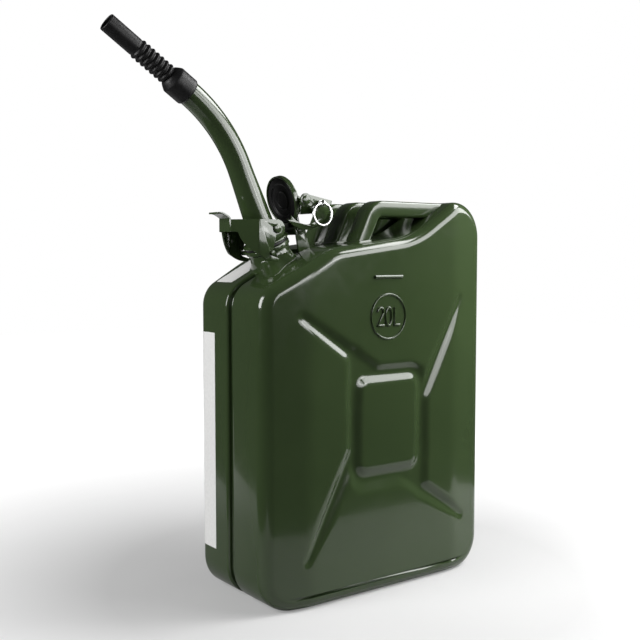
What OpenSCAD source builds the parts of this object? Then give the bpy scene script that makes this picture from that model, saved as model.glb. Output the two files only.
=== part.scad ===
// Pressed-steel fuel can of 20 litres, with a hinged cam-lever cap and a clamp-on pouring spout.
// All sizes are in millimetres. The origin is the centre of the base, on the surface it stands on.
// +Z is up, +X runs from the spout's side to the hump that carries the handles.

/* [Body] */
// Width of the broad face
body_w = 345; // [335:1:360]
// Depth between the two broad faces
body_d = 165; // [160:1:180]
// Height of the hump
body_h = 480; // [440:1:520]
// Thickness of the pressed sheet
sheet = 1; // [0.8:0.1:1.4]
// Rounding between a broad face and the narrow sides
edge_r = 14; // [10:1:18]
// Radius of the two bottom corners
base_r = 40; // [30:1:50]
// Drop from the hump to the lower end of the sloping shoulder
shoulder_drop = 110; // [106:1:114]
// Radius between the front side and the shoulder
shoulder_r = 32; // [24:1:38]
// Distance of the crest from the front side
crest_run = 93.5; // [90:0.5:98]
// Drop from the hump to the crest, where the shoulder meets the top
crest_drop = 60; // [56:1:63]
// Radius of the crest
crest_r = 60; // [40:1:70]
// Distance from the rear side to the foot of the hump
valley_run = 125.5; // [122:0.5:130]
// Drop from the hump to its foot
valley_drop = 44; // [40:1:47]
// Radius in the foot of the hump
valley_r = 120; // [90:1:130]
// Distance from the rear side to the front edge of the hump
hump_run = 56; // [54:0.5:60]
// Radius of the hump's front edge
hump_front_r = 26; // [18:1:27]
// Radius of the hump's rear corner
hump_rear_r = 46; // [36:1:47]
// Width of the sloped margin at each side of a broad face
margin_w = 58; // [50:1:62]
// Slope of that margin in degrees
margin_a = 11; // [7:1:13]

/* [Seam] */
// Half width of the recessed seam
seam_half = 5; // [4:0.5:7]
// Depth of the recessed seam
seam_depth = 7; // [6.5:0.5:9]
// Rounding of the seam's lips
seam_lip_r = 4; // [3:0.5:4.5]
// Rounding at the bottom of the seam
seam_floor_r = 2; // [1:0.5:2]
// Width of the weld bead
bead_w = 4.8; // [3:0.2:5]
// Height of the weld bead
bead_h = 1.8; // [1:0.2:2.4]

/* [Face pressing] */
// Place of the pressing's centre across the face
press_x = 3.5; // [-5:0.5:10]
// Height of the pressing's centre above the middle of the front side
press_lift = 22; // [15:1:30]
// Distance from the centre to the upright channels
ring_x = 54.5; // [48:0.5:60]
// Distance from the centre to the level channels
ring_z = 68; // [60:1:76]
// Distance from the centre to the arms' ends, across
arm_end_x = 114; // [100:1:120]
// Distance from the centre to the arms' ends, upwards
arm_end_z = 135; // [125:1:140]
// Height above the centre at which a steep arm leaves its channel
steep_root = 34; // [20:1:50]
// Distance from the centre at which a shallow arm leaves its channel
shallow_root = 15; // [5:1:30]
// Width of a groove's floor
groove_floor = 8; // [5:0.5:12]
// Width of a groove's sloping wall
groove_run = 7; // [5:0.5:9]
// Depth of the grooves
groove_depth = 6; // [4:0.5:8]
// Place of the capacity ring across the face
mark_x = 2; // [-10:1:10]
// Drop from the hump to the capacity ring's centre
mark_drop = 142; // [135:1:150]
// Radius of the capacity ring
mark_r = 27; // [20:1:30]
// Drop from the hump to the short level bar above the ring
bar_drop = 94; // [88:1:100]
// Length of the bar
bar_l = 43; // [30:1:50]
// Radius of the embossed wire-like lines
emboss_r = 1.1; // [0.8:0.1:1.5]

/* [Handles] */
// Distance between neighbouring handles
handle_pitch = 46; // [42:0.5:50]
// Width of a handle
handle_w = 25; // [20:0.5:28]
// Height of a handle's section
handle_t = 20; // [18:0.5:22]
// Corner radius of a handle's section
handle_r = 6; // [4:0.5:8]
// Wall of a handle's tube
handle_wall = 1.5; // [1:0.1:2]
// Drop of the handles' tops below the hump
handle_drop = 1; // [0.5:0.1:2]
// Distance from the rear side to the handles' front bend
handle_run = 169.5; // [165:0.5:174]
// Lean of the handles' front legs
handle_lean = 26; // [20:1:30]
// Radius of the front bend
handle_bend_r = 15; // [14:0.5:18]
// Length by which a handle stops short of the hump's front edge
handle_short = 5; // [4:0.5:8]

/* [Neck] */
// Distance of the neck's foot from the front side
neck_run = 62; // [60:0.5:64]
// Lean of the neck towards the front
neck_tilt = 23; // [21:0.5:24]
// Length of the neck above the shoulder
neck_h = 23; // [22:0.5:25]
// Radius of the mouth
mouth_r = 21.5; // [20:0.1:22.5]
// Radius of the neck below its rim
neck_r = 25; // [24.6:0.1:25.6]
// Radius of the rim
rim_r = 27; // [26.4:0.1:27.6]
// Height of the rim
rim_h = 5; // [4:0.5:6]
// Length of the neck's round part
neck_round_h = 12; // [11:0.5:13]
// Step between the round part and the flare below it
neck_ledge = 0.6; // [0.4:0.1:1]
// Half length of the oval foot along the shoulder
foot_x = 25.5; // [25:0.5:27]
// Half width of the oval foot across the can
foot_y = 43; // [38:0.5:46]
// Depth to which the foot reaches into the tank
foot_sink = 10; // [9:0.5:14]
// Wall of the neck's foot
neck_wall = 2; // [1.5:0.1:2.5]
// Place of the side studs in front of the neck's axis
stud_x = 17; // [16:0.5:18]
// Depth of the studs below the mouth
stud_z = 3.5; // [3.5:0.1:4.5]
// Radius of the studs
stud_r = 2.8; // [2.4:0.1:3.1]
// Outer end of the studs
stud_end = 36; // [35:0.5:38]
// Radius of the breather tube
breather_r = 4; // [3:0.5:4.5]
// Wall of the breather tube
breather_wall = 1; // [0.6:0.1:1.4]

/* [Cap] */
// Place of the hinge behind the neck's axis
hinge_x = 38; // [37.5:0.5:40]
// Height of the hinge above the mouth
hinge_z = 3; // [2:0.5:4]
// Radius of the hinge pin
hinge_pin_r = 3; // [2.5:0.1:3.4]
// Radius of the hinge knuckle
knuckle_r = 5.5; // [5:0.1:6]
// Half distance between the hinge bracket's ears
ear_gap = 20; // [18:0.5:21]
// Thickness of the ears
ear_t = 2.5; // [2:0.1:3]
// Angle by which the cap stands open
cap_open = 98; // [94:1:102]
// Outer radius of the cap
cap_r = 29.5; // [29.3:0.1:30]
// Thickness of the cap's gasket
cap_gasket_t = 3.2; // [2.5:0.1:4]
// Thickness of the cap's sheet
cap_t = 2; // [1.5:0.1:2.5]
// Depth of the cap's skirt below the gasket's seat
cap_skirt = 4.2; // [3:0.1:6]
// Rise of the cap's crown above the gasket's seat
cap_crown = 2.8; // [2.2:0.1:4]
// Half width of the strap on the cap
strap_w = 16; // [14:0.5:17]
// Thickness of the strap
strap_t = 2.5; // [2:0.1:3]
// Place of the cap lever's pivot behind the cap's centre
cap_pivot_x = 3.8; // [3:0.1:5]
// Rise of the cap lever's pivot above the strap
cap_pivot_rise = 4; // [3.6:0.1:5]

/* [Levers] */
// Angle by which the spout lever's hook reaches past the stud
hook_reach = 16; // [12:1:18]
// Bulge of the spout lever's cheek beyond its hook
cheek_bulge = 5; // [3:0.5:7]
// Distance from the spout lever's pivot to the bend of its cheek
cheek_run = 25; // [23:0.5:27]
// Thickness of both levers' sheet
lever_t = 2; // [1.6:0.1:2.4]
// Half distance between a lever's side plates
lever_gap = 31.9; // [31.6:0.1:33]
// Radius of the levers' pivots
pivot_r = 3; // [2.5:0.1:3.4]
// Radius of the rivet heads
rivet_head_r = 5.5; // [5:0.1:6]
// Thickness of the rivet heads
rivet_head_t = 2; // [1.5:0.1:2.5]
// Length of the cap lever
cap_lever_l = 40; // [36:0.5:42]
// Angle at which the cap lever is parked on the open cap
cap_lever_park = 65; // [62:1:68]
// Inner radius of the cap lever's hooks
cap_hook_r = 30; // [29:0.5:31]
// Width of the levers' hooks
hook_w = 4.5; // [4:0.1:5]
// Direction of the tips of the cap lever's hooks, seen from its pivot
cap_hook_tip_a = 230; // [225:1:240]
// Direction of the roots of the cap lever's hooks
cap_hook_root_a = 330; // [325:1:335]
// Half spread of the hooks' roots
hook_root_a = 16; // [12:1:18]
// Distance from the cap lever's pivot to its safety pin
safety_x = 20; // [18:0.5:22]
// Radius of the safety pin
safety_r = 2.2; // [1.8:0.1:2.4]
// Radius of the safety pin's collar and eye
safety_head_r = 3.8; // [3.6:0.1:4.2]
// Length of the safety pin inside the lever
safety_in = 10; // [9:0.5:14]
// Radius of the pull ring, to the middle of its wire
ring_r = 13.2; // [12:0.1:14]
// Radius of the ring's wire
ring_wire_r = 1.5; // [1.2:0.1:1.7]
// Place of the spout lever's pivot behind the spout's axis
spout_pivot_x = 0.5; // [0:0.5:1]
// Height of the spout lever's pivot above the mouth
spout_pivot_z = 20; // [19.5:0.1:20.5]
// Radius of the round end of the spout lever
spout_lever_eye = 10.5; // [9.5:0.5:11.5]
// Reach of the spout lever from its pivot to its bridge
spout_lever_reach = 51.5; // [50:0.5:54]
// Rise of the spout lever's bridge above its pivot
spout_lever_rise = 3; // [2:0.5:4]
// Height of the spout lever's bridge
bridge_h = 14; // [11:0.5:16]
// Half width of the spout lever at its bridge
bridge_w = 13; // [11:0.5:15]
// Length of the thumb tab
tab_l = 16; // [10:0.5:18]
// Half width of the thumb tab
tab_w = 11.5; // [8:0.5:12.5]
// Slope of the thumb tab
tab_a = 24; // [20:1:35]
// Angle by which the spout lever lifts
spout_lift = 34; // [28:1:35]
// Rise of the spout when its lever is lifted
seat_rise = 5; // [4.5:0.1:5.5]

/* [Spout] */
// Thickness of the spout's gasket
spout_gasket_t = 3; // [2.5:0.1:4]
// Inner radius of the spout's gasket
spout_gasket_r = 20; // [19.6:0.1:21]
// Radius of the spout head's flange
flange_r = 28; // [27.5:0.1:29]
// Thickness of the flange
flange_t = 2.5; // [2:0.1:3]
// Height of the socket that holds the tube
socket_h = 19; // [17:0.5:21]
// Wall of the socket
socket_wall = 3; // [2.4:0.1:3.6]
// Radius of the tube at the socket
tube_r = 17; // [16.5:0.1:17.4]
// Radius of the tube along its bend
tube_end_r = 14.4; // [14:0.1:15]
// Wall of the tube
tube_wall = 1.5; // [1:0.1:2]
// Distance from the mouth to the start of the bend
bend_start = 97; // [92:1:100]
// Radius of the bend
bend_r = 179; // [170:1:190]
// Angle of the bend
bend_a = 33.5; // [31:0.5:36]
// Length of tube inside the nozzle's collar
tube_in_collar = 22; // [18:1:24]
// Step down of the tube's end inside the collar
insert_step = 0.5; // [0.4:0.1:0.8]
// Radius of the nozzle's collar
collar_r = 16.3; // [16:0.1:18]
// Chamfer at the foot of the collar
collar_chamfer = 1.6; // [1:0.1:1.8]
// Length of the nozzle's collar
collar_l = 31; // [30:1:34]
// Radius over the nozzle's ribs
rib_r = 11.8; // [11.4:0.1:12.6]
// Number of ribs
rib_count = 7; // [5:1:8]
// Distance between ribs
rib_pitch = 6.4; // [5:0.2:7]
// Depth of the grooves between ribs
rib_depth = 1.9; // [1.2:0.1:2.2]
// Radius of the nozzle's smooth tip
tip_r = 10.3; // [10:0.1:11]
// Length of the smooth tip
tip_l = 41; // [36:1:46]
// Radius of the nozzle's bore
bore_r = 7.8; // [7:0.1:8]
// Thickness of the strainer plate
screen_t = 1.2; // [0.8:0.1:1.6]
// Distance between the strainer's holes
screen_pitch = 4.2; // [3.8:0.1:4.4]
// Radius of the strainer's holes
screen_hole_r = 1.5; // [1:0.1:1.7]

/* [Fits] */
// Radial clearance of a turning pin
pin_gap = 0.05; // [0.03:0.01:0.09]
// Radial clearance of a fixed pin
press_gap = 0.02; // [0.01:0.01:0.04]
// Clearance beside a moving plate
side_gap = 0.3; // [0.2:0.05:0.5]
// Clearance round the pull ring's wire in its eye
ring_gap = 0.8; // [0.7:0.1:1]
// Gap between a gasket and the rim it seals
seat_gap = 0.1; // [0.05:0.05:0.2]
// Gap between a welded piece and the tank
weld_gap = 0.15; // [0.1:0.05:0.3]

/* [Hidden] */
$fn = 48;
green = [0.17, 0.22, 0.13];
rubber = [0.06, 0.06, 0.06];
steel = [0.62, 0.63, 0.62];
// Largest step of a facetted arc, in degrees
arc_step = 9.1;
// Length by which a cutting shape stands out of what it cuts
over = 1;
plan_gap = 0.1;
// Step and lap of the joint between a straight run of tube and its bend
joint_step = 0.05;
joint_lap = 0.4;

// Heights of the tank's top, face pressing and marks, tied to the hump
shoulder_h = body_h - shoulder_drop;
crest_h = body_h - crest_drop;
valley_h = body_h - valley_drop;
press_z = shoulder_h / 2 + press_lift;
mark_z = body_h - mark_drop;
bar_z = body_h - bar_drop;

// Corners of the tank's outline as [x, z, radius], anticlockwise as seen from the front
corners = [
  [-body_w / 2, 0, base_r],
  [body_w / 2, 0, base_r],
  [body_w / 2, body_h, hump_rear_r],
  [body_w / 2 - hump_run, body_h, hump_front_r],
  [body_w / 2 - valley_run, valley_h, valley_r],
  [-body_w / 2 + crest_run, crest_h, crest_r],
  [-body_w / 2, shoulder_h, shoulder_r]
];

// The neck stands on the shoulder and leans on its own axis
shoulder_a = atan2(crest_h - shoulder_h, crest_run);
foot = [-body_w / 2 + neck_run, shoulder_h + neck_run * tan(shoulder_a)];
mouth = foot + neck_h * [-sin(neck_tilt), cos(neck_tilt)];
hinge = neck_point(hinge_x, hinge_z);

// Levels of the cap when it is shut, above the mouth
cap_top = cap_gasket_t + cap_crown;
strap_top = cap_top + strap_t;
cap_pivot_z = strap_top + cap_pivot_rise;
ear_end = ear_gap + ear_t;
plate_end = lever_gap + lever_t;
// Distance of the ring from the middle, and slope of the parked cap lever
eye_y = plate_end + side_gap + 2 + safety_head_r;
lever_lean = cap_open - cap_lever_park - neck_tilt;

// Levels of the spout above the mouth
flange_z = seat_gap + spout_gasket_t;
socket_z = flange_z + flange_t;
socket_top = socket_z + socket_h;
socket_r = tube_r + press_gap + socket_wall;

// The cam slot of the spout lever follows the stud while the spout rises
stud_from_pivot = turned([-stud_x - spout_pivot_x, -stud_z - spout_pivot_z], neck_tilt);
seat_lift = seat_rise * [-sin(neck_tilt), cos(neck_tilt)];
stud_a = 360 + atan2(stud_from_pivot[1], stud_from_pivot[0]);
slot_half = stud_r + side_gap;
slot_out = cam_r(hook_reach) + slot_half;
hook_r = slot_out + hook_w;

function unit(v) = v / norm(v);
function left_of(v) = [-v[1], v[0]];
function turned(p, a) = [p[0] * cos(a) - p[1] * sin(a), p[0] * sin(a) + p[1] * cos(a)];
function turn_between(u, v) = atan2(u[0] * v[1] - u[1] * v[0], u * v);
function neck_point(x, z) = mouth + turned([x, z], neck_tilt);

// One corner of an outline that is moved inwards by inset, rounded by an arc
function rounded_corner(before, at, after, r, inset) =
  let (
    u = unit(at - before),
    v = unit(after - at),
    turn = turn_between(u, v),
    round_r = r - sign(turn) * inset,
    corner = at + inset * (left_of(u) + left_of(v)) / (1 + u * v),
    start = corner - u * round_r * tan(abs(turn) / 2),
    centre = start + sign(turn) * round_r * left_of(u),
    steps = ceil(abs(turn) / arc_step)
  )
  [for (k = [0:steps]) centre + turned(start - centre, turn * k / steps)];

function flat(c) = [c[0], c[1]];

// Outline of the tank, moved inwards by inset
function tank_outline(inset) =
  let (n = len(corners))
  [for (i = [0:n - 1]) each rounded_corner(
    flat(corners[(i + n - 1) % n]), flat(corners[i]), flat(corners[(i + 1) % n]), corners[i][2], inset)];

// Section of a half shell as [inset, distance from the seam], from the seam to the broad face
function shell_section(skin) = concat(
  [[seam_depth + skin, -skin]],
  [for (a = [90:-45:0]) [
    seam_depth - seam_floor_r + (seam_floor_r + skin) * sin(a),
    seam_half - seam_floor_r + (seam_floor_r + skin) * cos(a)]],
  [for (a = [90:-30:0]) [
    seam_lip_r - (seam_lip_r - skin) * cos(a),
    seam_half + seam_lip_r - (seam_lip_r - skin) * sin(a)]],
  [for (a = [0:22.5:90]) [
    edge_r - (edge_r - skin) * cos(a),
    body_d / 2 - edge_r + (edge_r - skin) * sin(a)]]);

// A shape that stands in the XZ plane and reaches from y to y + t
module upright(y, t) {
  translate([0, y + t, 0]) rotate([90, 0, 0]) linear_extrude(t) children();
}

// Both mirrored copies of a shape
module both_sides() {
  children();
  mirror([0, 1, 0]) children();
}

module at_neck() {
  translate([mouth[0], 0, mouth[1]]) rotate([0, -neck_tilt, 0]) children();
}

// Frame of the shut cap, swung open about its hinge
module at_cap() {
  at_neck() translate([hinge_x, 0, hinge_z]) rotate([0, cap_open, 0])
    translate([-hinge_x, 0, -hinge_z]) children();
}

// Frame of the cap lever, with its pivot at the origin and its arm along X
module at_cap_lever() {
  at_cap() translate([cap_pivot_x, 0, cap_pivot_z]) rotate([0, -cap_lever_park, 0]) children();
}

module at_spout_pivot() {
  at_neck() translate([spout_pivot_x, 0, spout_pivot_z]) children();
}

// Frame of the spout lever, level when the lever is pressed down
module at_spout_lever() {
  at_spout_pivot() rotate([0, neck_tilt, 0]) children();
}

// Frame at the end of the spout's bend, with Z along the tube
module at_bend_end() {
  at_neck() translate([-bend_r, 0, bend_start]) rotate([0, -bend_a, 0]) translate([bend_r, 0, 0])
    children();
}

// Pin along Y that is centred on the XZ plane
module cross_pin(r, half) {
  rotate([90, 0, 0]) cylinder(r = r, h = 2 * half, center = true);
}

// Wedge of a large circle between two angles less than 180 degrees apart
module wedge(a0, a1, r) {
  polygon([[0, 0], r * 2 * [cos(a0), sin(a0)], r * 2 * [cos((a0 + a1) / 2), sin((a0 + a1) / 2)],
    r * 2 * [cos(a1), sin(a1)]]);
}

// Part of a ring between two angles
module arc_band(r_in, r_out, a0, a1) {
  intersection() {
    difference() {
      circle(r_out);
      circle(r_in);
    }
    wedge(a0, a1, r_out);
  }
}

// Rectangle with round corners
module rounded_rect(w, h, r) {
  polygon([for (k = [0:3], a = [0:15:90])
    [(k % 3 == 0 ? 1 : -1) * (w / 2 - r), (k < 2 ? 1 : -1) * (h / 2 - r)]
      + r * [cos(k * 90 + a), sin(k * 90 + a)]]);
}

// Sweeps a profile along straight runs in the XZ plane, with a bend of one radius at each inner point.
// The straight runs reach a little into the bends, and their profile is smaller by $tuck.
module bent(path, r) {
  last = len(path) - 1;
  run = [for (i = [0:last - 1]) unit(path[i + 1] - path[i])];
  turn = [for (i = [1:last - 1]) turn_between(run[i - 1], run[i])];
  trim = concat([0], [for (a = turn) r * tan(abs(a) / 2)], [0]);
  for (i = [0:last - 1]) {
    $tuck = joint_step;
    tail = i == 0 ? 0 : joint_lap;
    head = i == last - 1 ? 0 : joint_lap;
    start = path[i] + run[i] * (trim[i] - tail);
    translate([start[0], 0, start[1]]) rotate([0, atan2(run[i][0], run[i][1]), 0])
      linear_extrude(norm(path[i + 1] - path[i]) - trim[i] - trim[i + 1] + tail + head) children();
  }
  for (i = [1:last - 1]) {
    $tuck = 0;
    side = sign(turn[i - 1]);
    start = path[i] - run[i - 1] * trim[i];
    centre = start + side * r * left_of(run[i - 1]);
    spoke = unit(start - centre);
    translate([centre[0], 0, centre[1]]) rotate([0, atan2(-spoke[1], spoke[0]), 0]) rotate([90, 0, 0])
      rotate([0, 0, min(0, turn[i - 1])]) rotate_extrude(angle = abs(turn[i - 1]))
      translate([r, 0]) children();
  }
}

// Closed solid through a stack of rings with equal numbers of points
module loft(rings) {
  n = len(rings[0]);
  last = len(rings) - 1;
  walls = [for (j = [0:last - 1], i = [0:n - 1])
    let (a = j * n + i, b = j * n + (i + 1) % n)
    each [[a, b, b + n], [a, b + n, a + n]]];
  polyhedron([for (ring = rings) each ring],
    concat([[for (i = [n - 1:-1:0]) i]], walls, [[for (i = [0:n - 1]) last * n + i]]));
}

// Plan of a half tank, whose broad face slopes back at both sides; skin moves it inwards
function half_plan(skin) =
  let (
    side = body_w / 2 + plan_gap,
    margin_x = side - margin_w,
    corner = rounded_corner(
      [side, 0], [side, body_d / 2 - margin_w * tan(margin_a)], [margin_x, body_d / 2], edge_r, skin),
    end = [margin_x - (over + skin / cos(margin_a)) / tan(margin_a), body_d / 2 + over],
    line = concat([[side - skin, -2 * over]], corner, [end])
  )
  concat(line, [for (i = [len(line) - 1:-1:0]) [-line[i][0], line[i][1]]]);

// Solid half of the tank on the +Y side; skin moves its surface inwards
module half_tank(skin) {
  intersection() {
    loft([for (s = shell_section(skin)) [for (p = tank_outline(s[0])) [p[0], s[1], p[1]]]]);
    translate([0, 0, -over]) linear_extrude(body_h + 2 * over) polygon(half_plan(skin));
  }
}

// One pressed groove with round ends; skin grows it into the tank
module groove(from, to, skin) {
  slope = groove_run / groove_depth;
  wall_shift = skin * sqrt(1 + slope * slope);
  hull() for (p = [from, to]) {
    translate([press_x + p[0], body_d / 2 + over, press_z + p[1]]) rotate([90, 0, 0])
      cylinder(
        h = over + groove_depth + skin,
        r1 = groove_floor / 2 + groove_run + wall_shift + over * slope,
        r2 = groove_floor / 2 + wall_shift - skin * slope,
        $fn = 20);
  }
}

// The crossed pressing: a frame of channels round the raised panel, and an arm towards each corner
module pressing(skin) {
  rise = (arm_end_z - ring_z) / (arm_end_x - shallow_root);
  for (s = [1, -1]) {
    groove(s * [-ring_x, ring_z], s * [ring_x, ring_z], skin);
    groove(s * [-ring_x, -ring_z], s * [-ring_x, ring_z + (ring_x - shallow_root) * rise], skin);
    groove(s * [ring_x, steep_root], s * [arm_end_x, arm_end_z], skin);
    groove(s * [-shallow_root, ring_z], s * [-arm_end_x, arm_end_z], skin);
  }
}

// Capacity ring and level bar, raised on the broad face
module embossing() {
  translate([mark_x, body_d / 2, mark_z]) rotate([-90, 0, 0]) rotate_extrude($fn = 40)
    translate([mark_r, 0]) circle(emboss_r, $fn = 8);
  translate([mark_x - bar_l / 2, body_d / 2, bar_z]) rotate([0, 90, 0])
    cylinder(r = emboss_r * 2, h = bar_l, $fn = 12);
}

// Flare from the neck's round part to its oval foot; depth is its reach below the shoulder
module neck_flare(grow, depth) {
  hull() {
    at_neck() translate([0, 0, -neck_round_h - over])
      cylinder(r = neck_r + neck_ledge + grow, h = over, $fn = 40);
    translate([foot[0], 0, foot[1]]) rotate([0, -shoulder_a, 0]) translate([0, 0, -depth])
      scale([foot_x + grow, foot_y + grow, 1]) cylinder(r = 1, h = depth, $fn = 40);
  }
}

// Half shell on the +Y side, open at the seam and cut out for the neck
module half_shell() {
  difference() {
    half_tank(0);
    pressing(0);
    difference() {
      half_tank(sheet);
      pressing(sheet);
    }
    neck_flare(weld_gap, foot_sink + over);
  }
}

module front_shell() color(green) mirror([0, 1, 0]) {
  half_shell();
  difference() {
    embossing();
    half_tank(sheet / 2);
  }
}

module back_shell() color(green) half_shell();

// Weld bead on the floor of the seam, run all round and cut out at the neck
module seam_weld() color(green) {
  section = [[0, -bead_w / 2], [bead_h * 0.8, -bead_w / 4], [bead_h, 0], [bead_h * 0.8, bead_w / 4],
    [0, bead_w / 2]];
  rings = [for (s = section) [for (p = tank_outline(seam_depth - s[0])) [p[0], s[1], p[1]]]];
  n = len(rings[0]);
  m = len(section);
  difference() {
    polyhedron([for (ring = rings) each ring],
      [for (j = [0:m - 1], i = [0:n - 1])
        let (a = j * n + i, b = j * n + (i + 1) % n, c = (j + 1) % m * n + (i + 1) % n,
          d = (j + 1) % m * n + i)
        each [[a, b, c], [a, c, d]]]);
    neck_flare(weld_gap, foot_sink + over);
  }
}

// Section of a handle's tube; skin is taken off all round
module tube_section(skin) {
  rounded_rect(handle_t - 2 * skin, handle_w - 2 * skin, handle_r - skin);
}

// Bent tube bar from the hump to the top, cut to the tank's surface at both ends
module handle(y) {
  z = body_h - handle_drop - handle_t / 2;
  corner = [body_w / 2 - handle_run, z];
  leg = (body_h - crest_h) * 1.5;
  path = [
    [body_w / 2 - hump_run - handle_short, z],
    corner,
    corner - leg * [sin(handle_lean), cos(handle_lean)]];
  translate([0, y, 0]) difference() {
    bent(path, handle_bend_r) difference() {
      tube_section($tuck);
      tube_section($tuck + handle_wall);
    }
    upright(-handle_w, 2 * handle_w) polygon(tank_outline(-weld_gap));
  }
}

module front_handle() color(green) handle(-handle_pitch);

module middle_handle() color(green) handle(0);

module back_handle() color(green) handle(handle_pitch);

// Filler neck: rolled rim, round part, oval flare through the shoulder, and two side studs
module neck() color(green) {
  difference() {
    union() {
      neck_flare(0, foot_sink);
      at_neck() {
        translate([0, 0, -neck_round_h - over]) cylinder(r = neck_r, h = neck_round_h + over);
        translate([0, 0, -rim_h]) cylinder(r = rim_r, h = rim_h);
        both_sides() translate([-stud_x, 0, -stud_z]) rotate([-90, 0, 0]) {
          translate([0, 0, stud_x]) cylinder(r = stud_r, h = stud_end - stud_x);
        }
      }
    }
    neck_flare(-neck_wall, foot_sink + over);
    at_neck() translate([0, 0, -neck_round_h - neck_h])
      cylinder(r = mouth_r, h = neck_round_h + neck_h + over);
  }
}

// Air pipe from the neck to the air space in the hump
module breather_tube() color(steel) {
  offset_x = mouth_r - breather_r - weld_gap;
  below = seam_depth + sheet + breather_r + 2 * over;
  lift = atan2(valley_h - crest_h, body_w - crest_run - valley_run);
  crest = [-body_w / 2 + crest_run, crest_h];
  valley = [body_w / 2 - valley_run, valley_h];
  drop = below * [sin(lift), -cos(lift)];
  path = [
    neck_point(offset_x, -rim_h),
    neck_point(offset_x, -neck_h - foot_sink - breather_r),
    valley + drop - [breather_r, 0],
    [body_w / 2 - hump_run, body_h - below - 2 * breather_r]];
  bent(path, 3 * breather_r) difference() {
    circle(breather_r - $tuck);
    circle(breather_r - breather_wall - $tuck);
  }
}

// Bent sheet bracket behind the neck, with two ears for the hinge pin
module hinge_bracket() color(green) {
  half_w = knuckle_r + 2;
  low = hinge[1] - neck_h - foot_sink;
  difference() {
    union() {
      both_sides() upright(ear_gap, ear_t) difference() {
        union() {
          translate(hinge) circle(half_w);
          polygon([
            [hinge[0] - half_w, hinge[1]],
            [hinge[0] - half_w * 0.3, low],
            [hinge[0] + half_w * 2, low],
            [hinge[0] + half_w, hinge[1]]]);
        }
        polygon(tank_outline(-weld_gap));
      }
      upright(-ear_gap, 2 * ear_gap) difference() {
        intersection() {
          polygon(tank_outline(-weld_gap - ear_t));
          translate([hinge[0], low]) square([1.7 * half_w, hinge[1] - low]);
        }
        polygon(tank_outline(-weld_gap));
      }
    }
    translate([hinge[0], 0, hinge[1]]) cross_pin(hinge_pin_r + press_gap, ear_end + over);
  }
}

module hinge_pin() color(steel) {
  translate([hinge[0], 0, hinge[1]]) {
    cross_pin(hinge_pin_r, ear_end + rivet_head_t);
    both_sides() translate([0, ear_end, 0]) rotate([-90, 0, 0])
      cylinder(r1 = rivet_head_r, r2 = rivet_head_r - 1, h = rivet_head_t);
  }
}

// Pressed cap, drawn shut and swung open
module cap() color(green) at_cap() rotate_extrude() polygon([
  [0, cap_gasket_t],
  [cap_r - cap_t, cap_gasket_t],
  [cap_r - cap_t, cap_gasket_t - cap_skirt],
  [cap_r, cap_gasket_t - cap_skirt],
  [cap_r, cap_top - 1.5],
  [cap_r - 1.5, cap_top],
  [0, cap_top]]);

module cap_gasket() color(rubber) at_cap() rotate_extrude() polygon([
  [0, cap_gasket_t],
  [cap_r - cap_t - side_gap, cap_gasket_t],
  [cap_r - cap_t - side_gap, 1],
  [cap_r - cap_t - side_gap - 1, 0],
  [mouth_r - 1.5, 0],
  [mouth_r - 4, 1.5],
  [0, 1.5]]);

// Strap across the cap, with the hinge knuckle at its rear end and two ears for the lever's pin
module cap_strap() color(green) at_cap() {
  ear_r = pivot_r + 3;
  difference() {
    union() {
      upright(-strap_w, 2 * strap_w) {
        translate([-cap_r * 0.75, cap_top]) square([cap_r * 1.75, strap_t]);
        polygon([
          [cap_r, cap_top],
          [cap_r, strap_top],
          [hinge_x, hinge_z + knuckle_r],
          [hinge_x - knuckle_r, hinge_z]]);
        translate([hinge_x, hinge_z]) circle(knuckle_r);
      }
      both_sides() upright(strap_w - strap_t, strap_t) translate([cap_pivot_x, strap_top]) {
        translate([0, cap_pivot_rise]) circle(ear_r);
        translate([-ear_r, -strap_t]) square([2 * ear_r, cap_pivot_rise + strap_t]);
      }
    }
    translate([hinge_x, 0, hinge_z]) cross_pin(hinge_pin_r + pin_gap, strap_w + over);
    translate([cap_pivot_x, 0, cap_pivot_z]) cross_pin(pivot_r + press_gap, strap_w + over);
    translate([-cap_r, -strap_w - over, cap_top - 3 * cap_crown])
      cube([2 * cap_r, 2 * (strap_w + over), 3 * cap_crown]);
  }
}

// Round stop riveted on the strap
module cap_stop() color(green) at_cap() translate([-cap_r * 0.42, 0, strap_top]) rotate_extrude()
  polygon([[0, 0], [3, 0], [3, 1.5], [4.5, 2], [4.5, 4.5], [3, 6], [0, 6]]);

module cap_lever_pin() color(steel) at_cap() translate([cap_pivot_x, 0, cap_pivot_z]) {
  cross_pin(pivot_r, plate_end + side_gap + rivet_head_t);
  both_sides() translate([0, plate_end + side_gap, 0]) rotate([-90, 0, 0])
    cylinder(r1 = rivet_head_r, r2 = rivet_head_r - 1, h = rivet_head_t);
}

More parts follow.
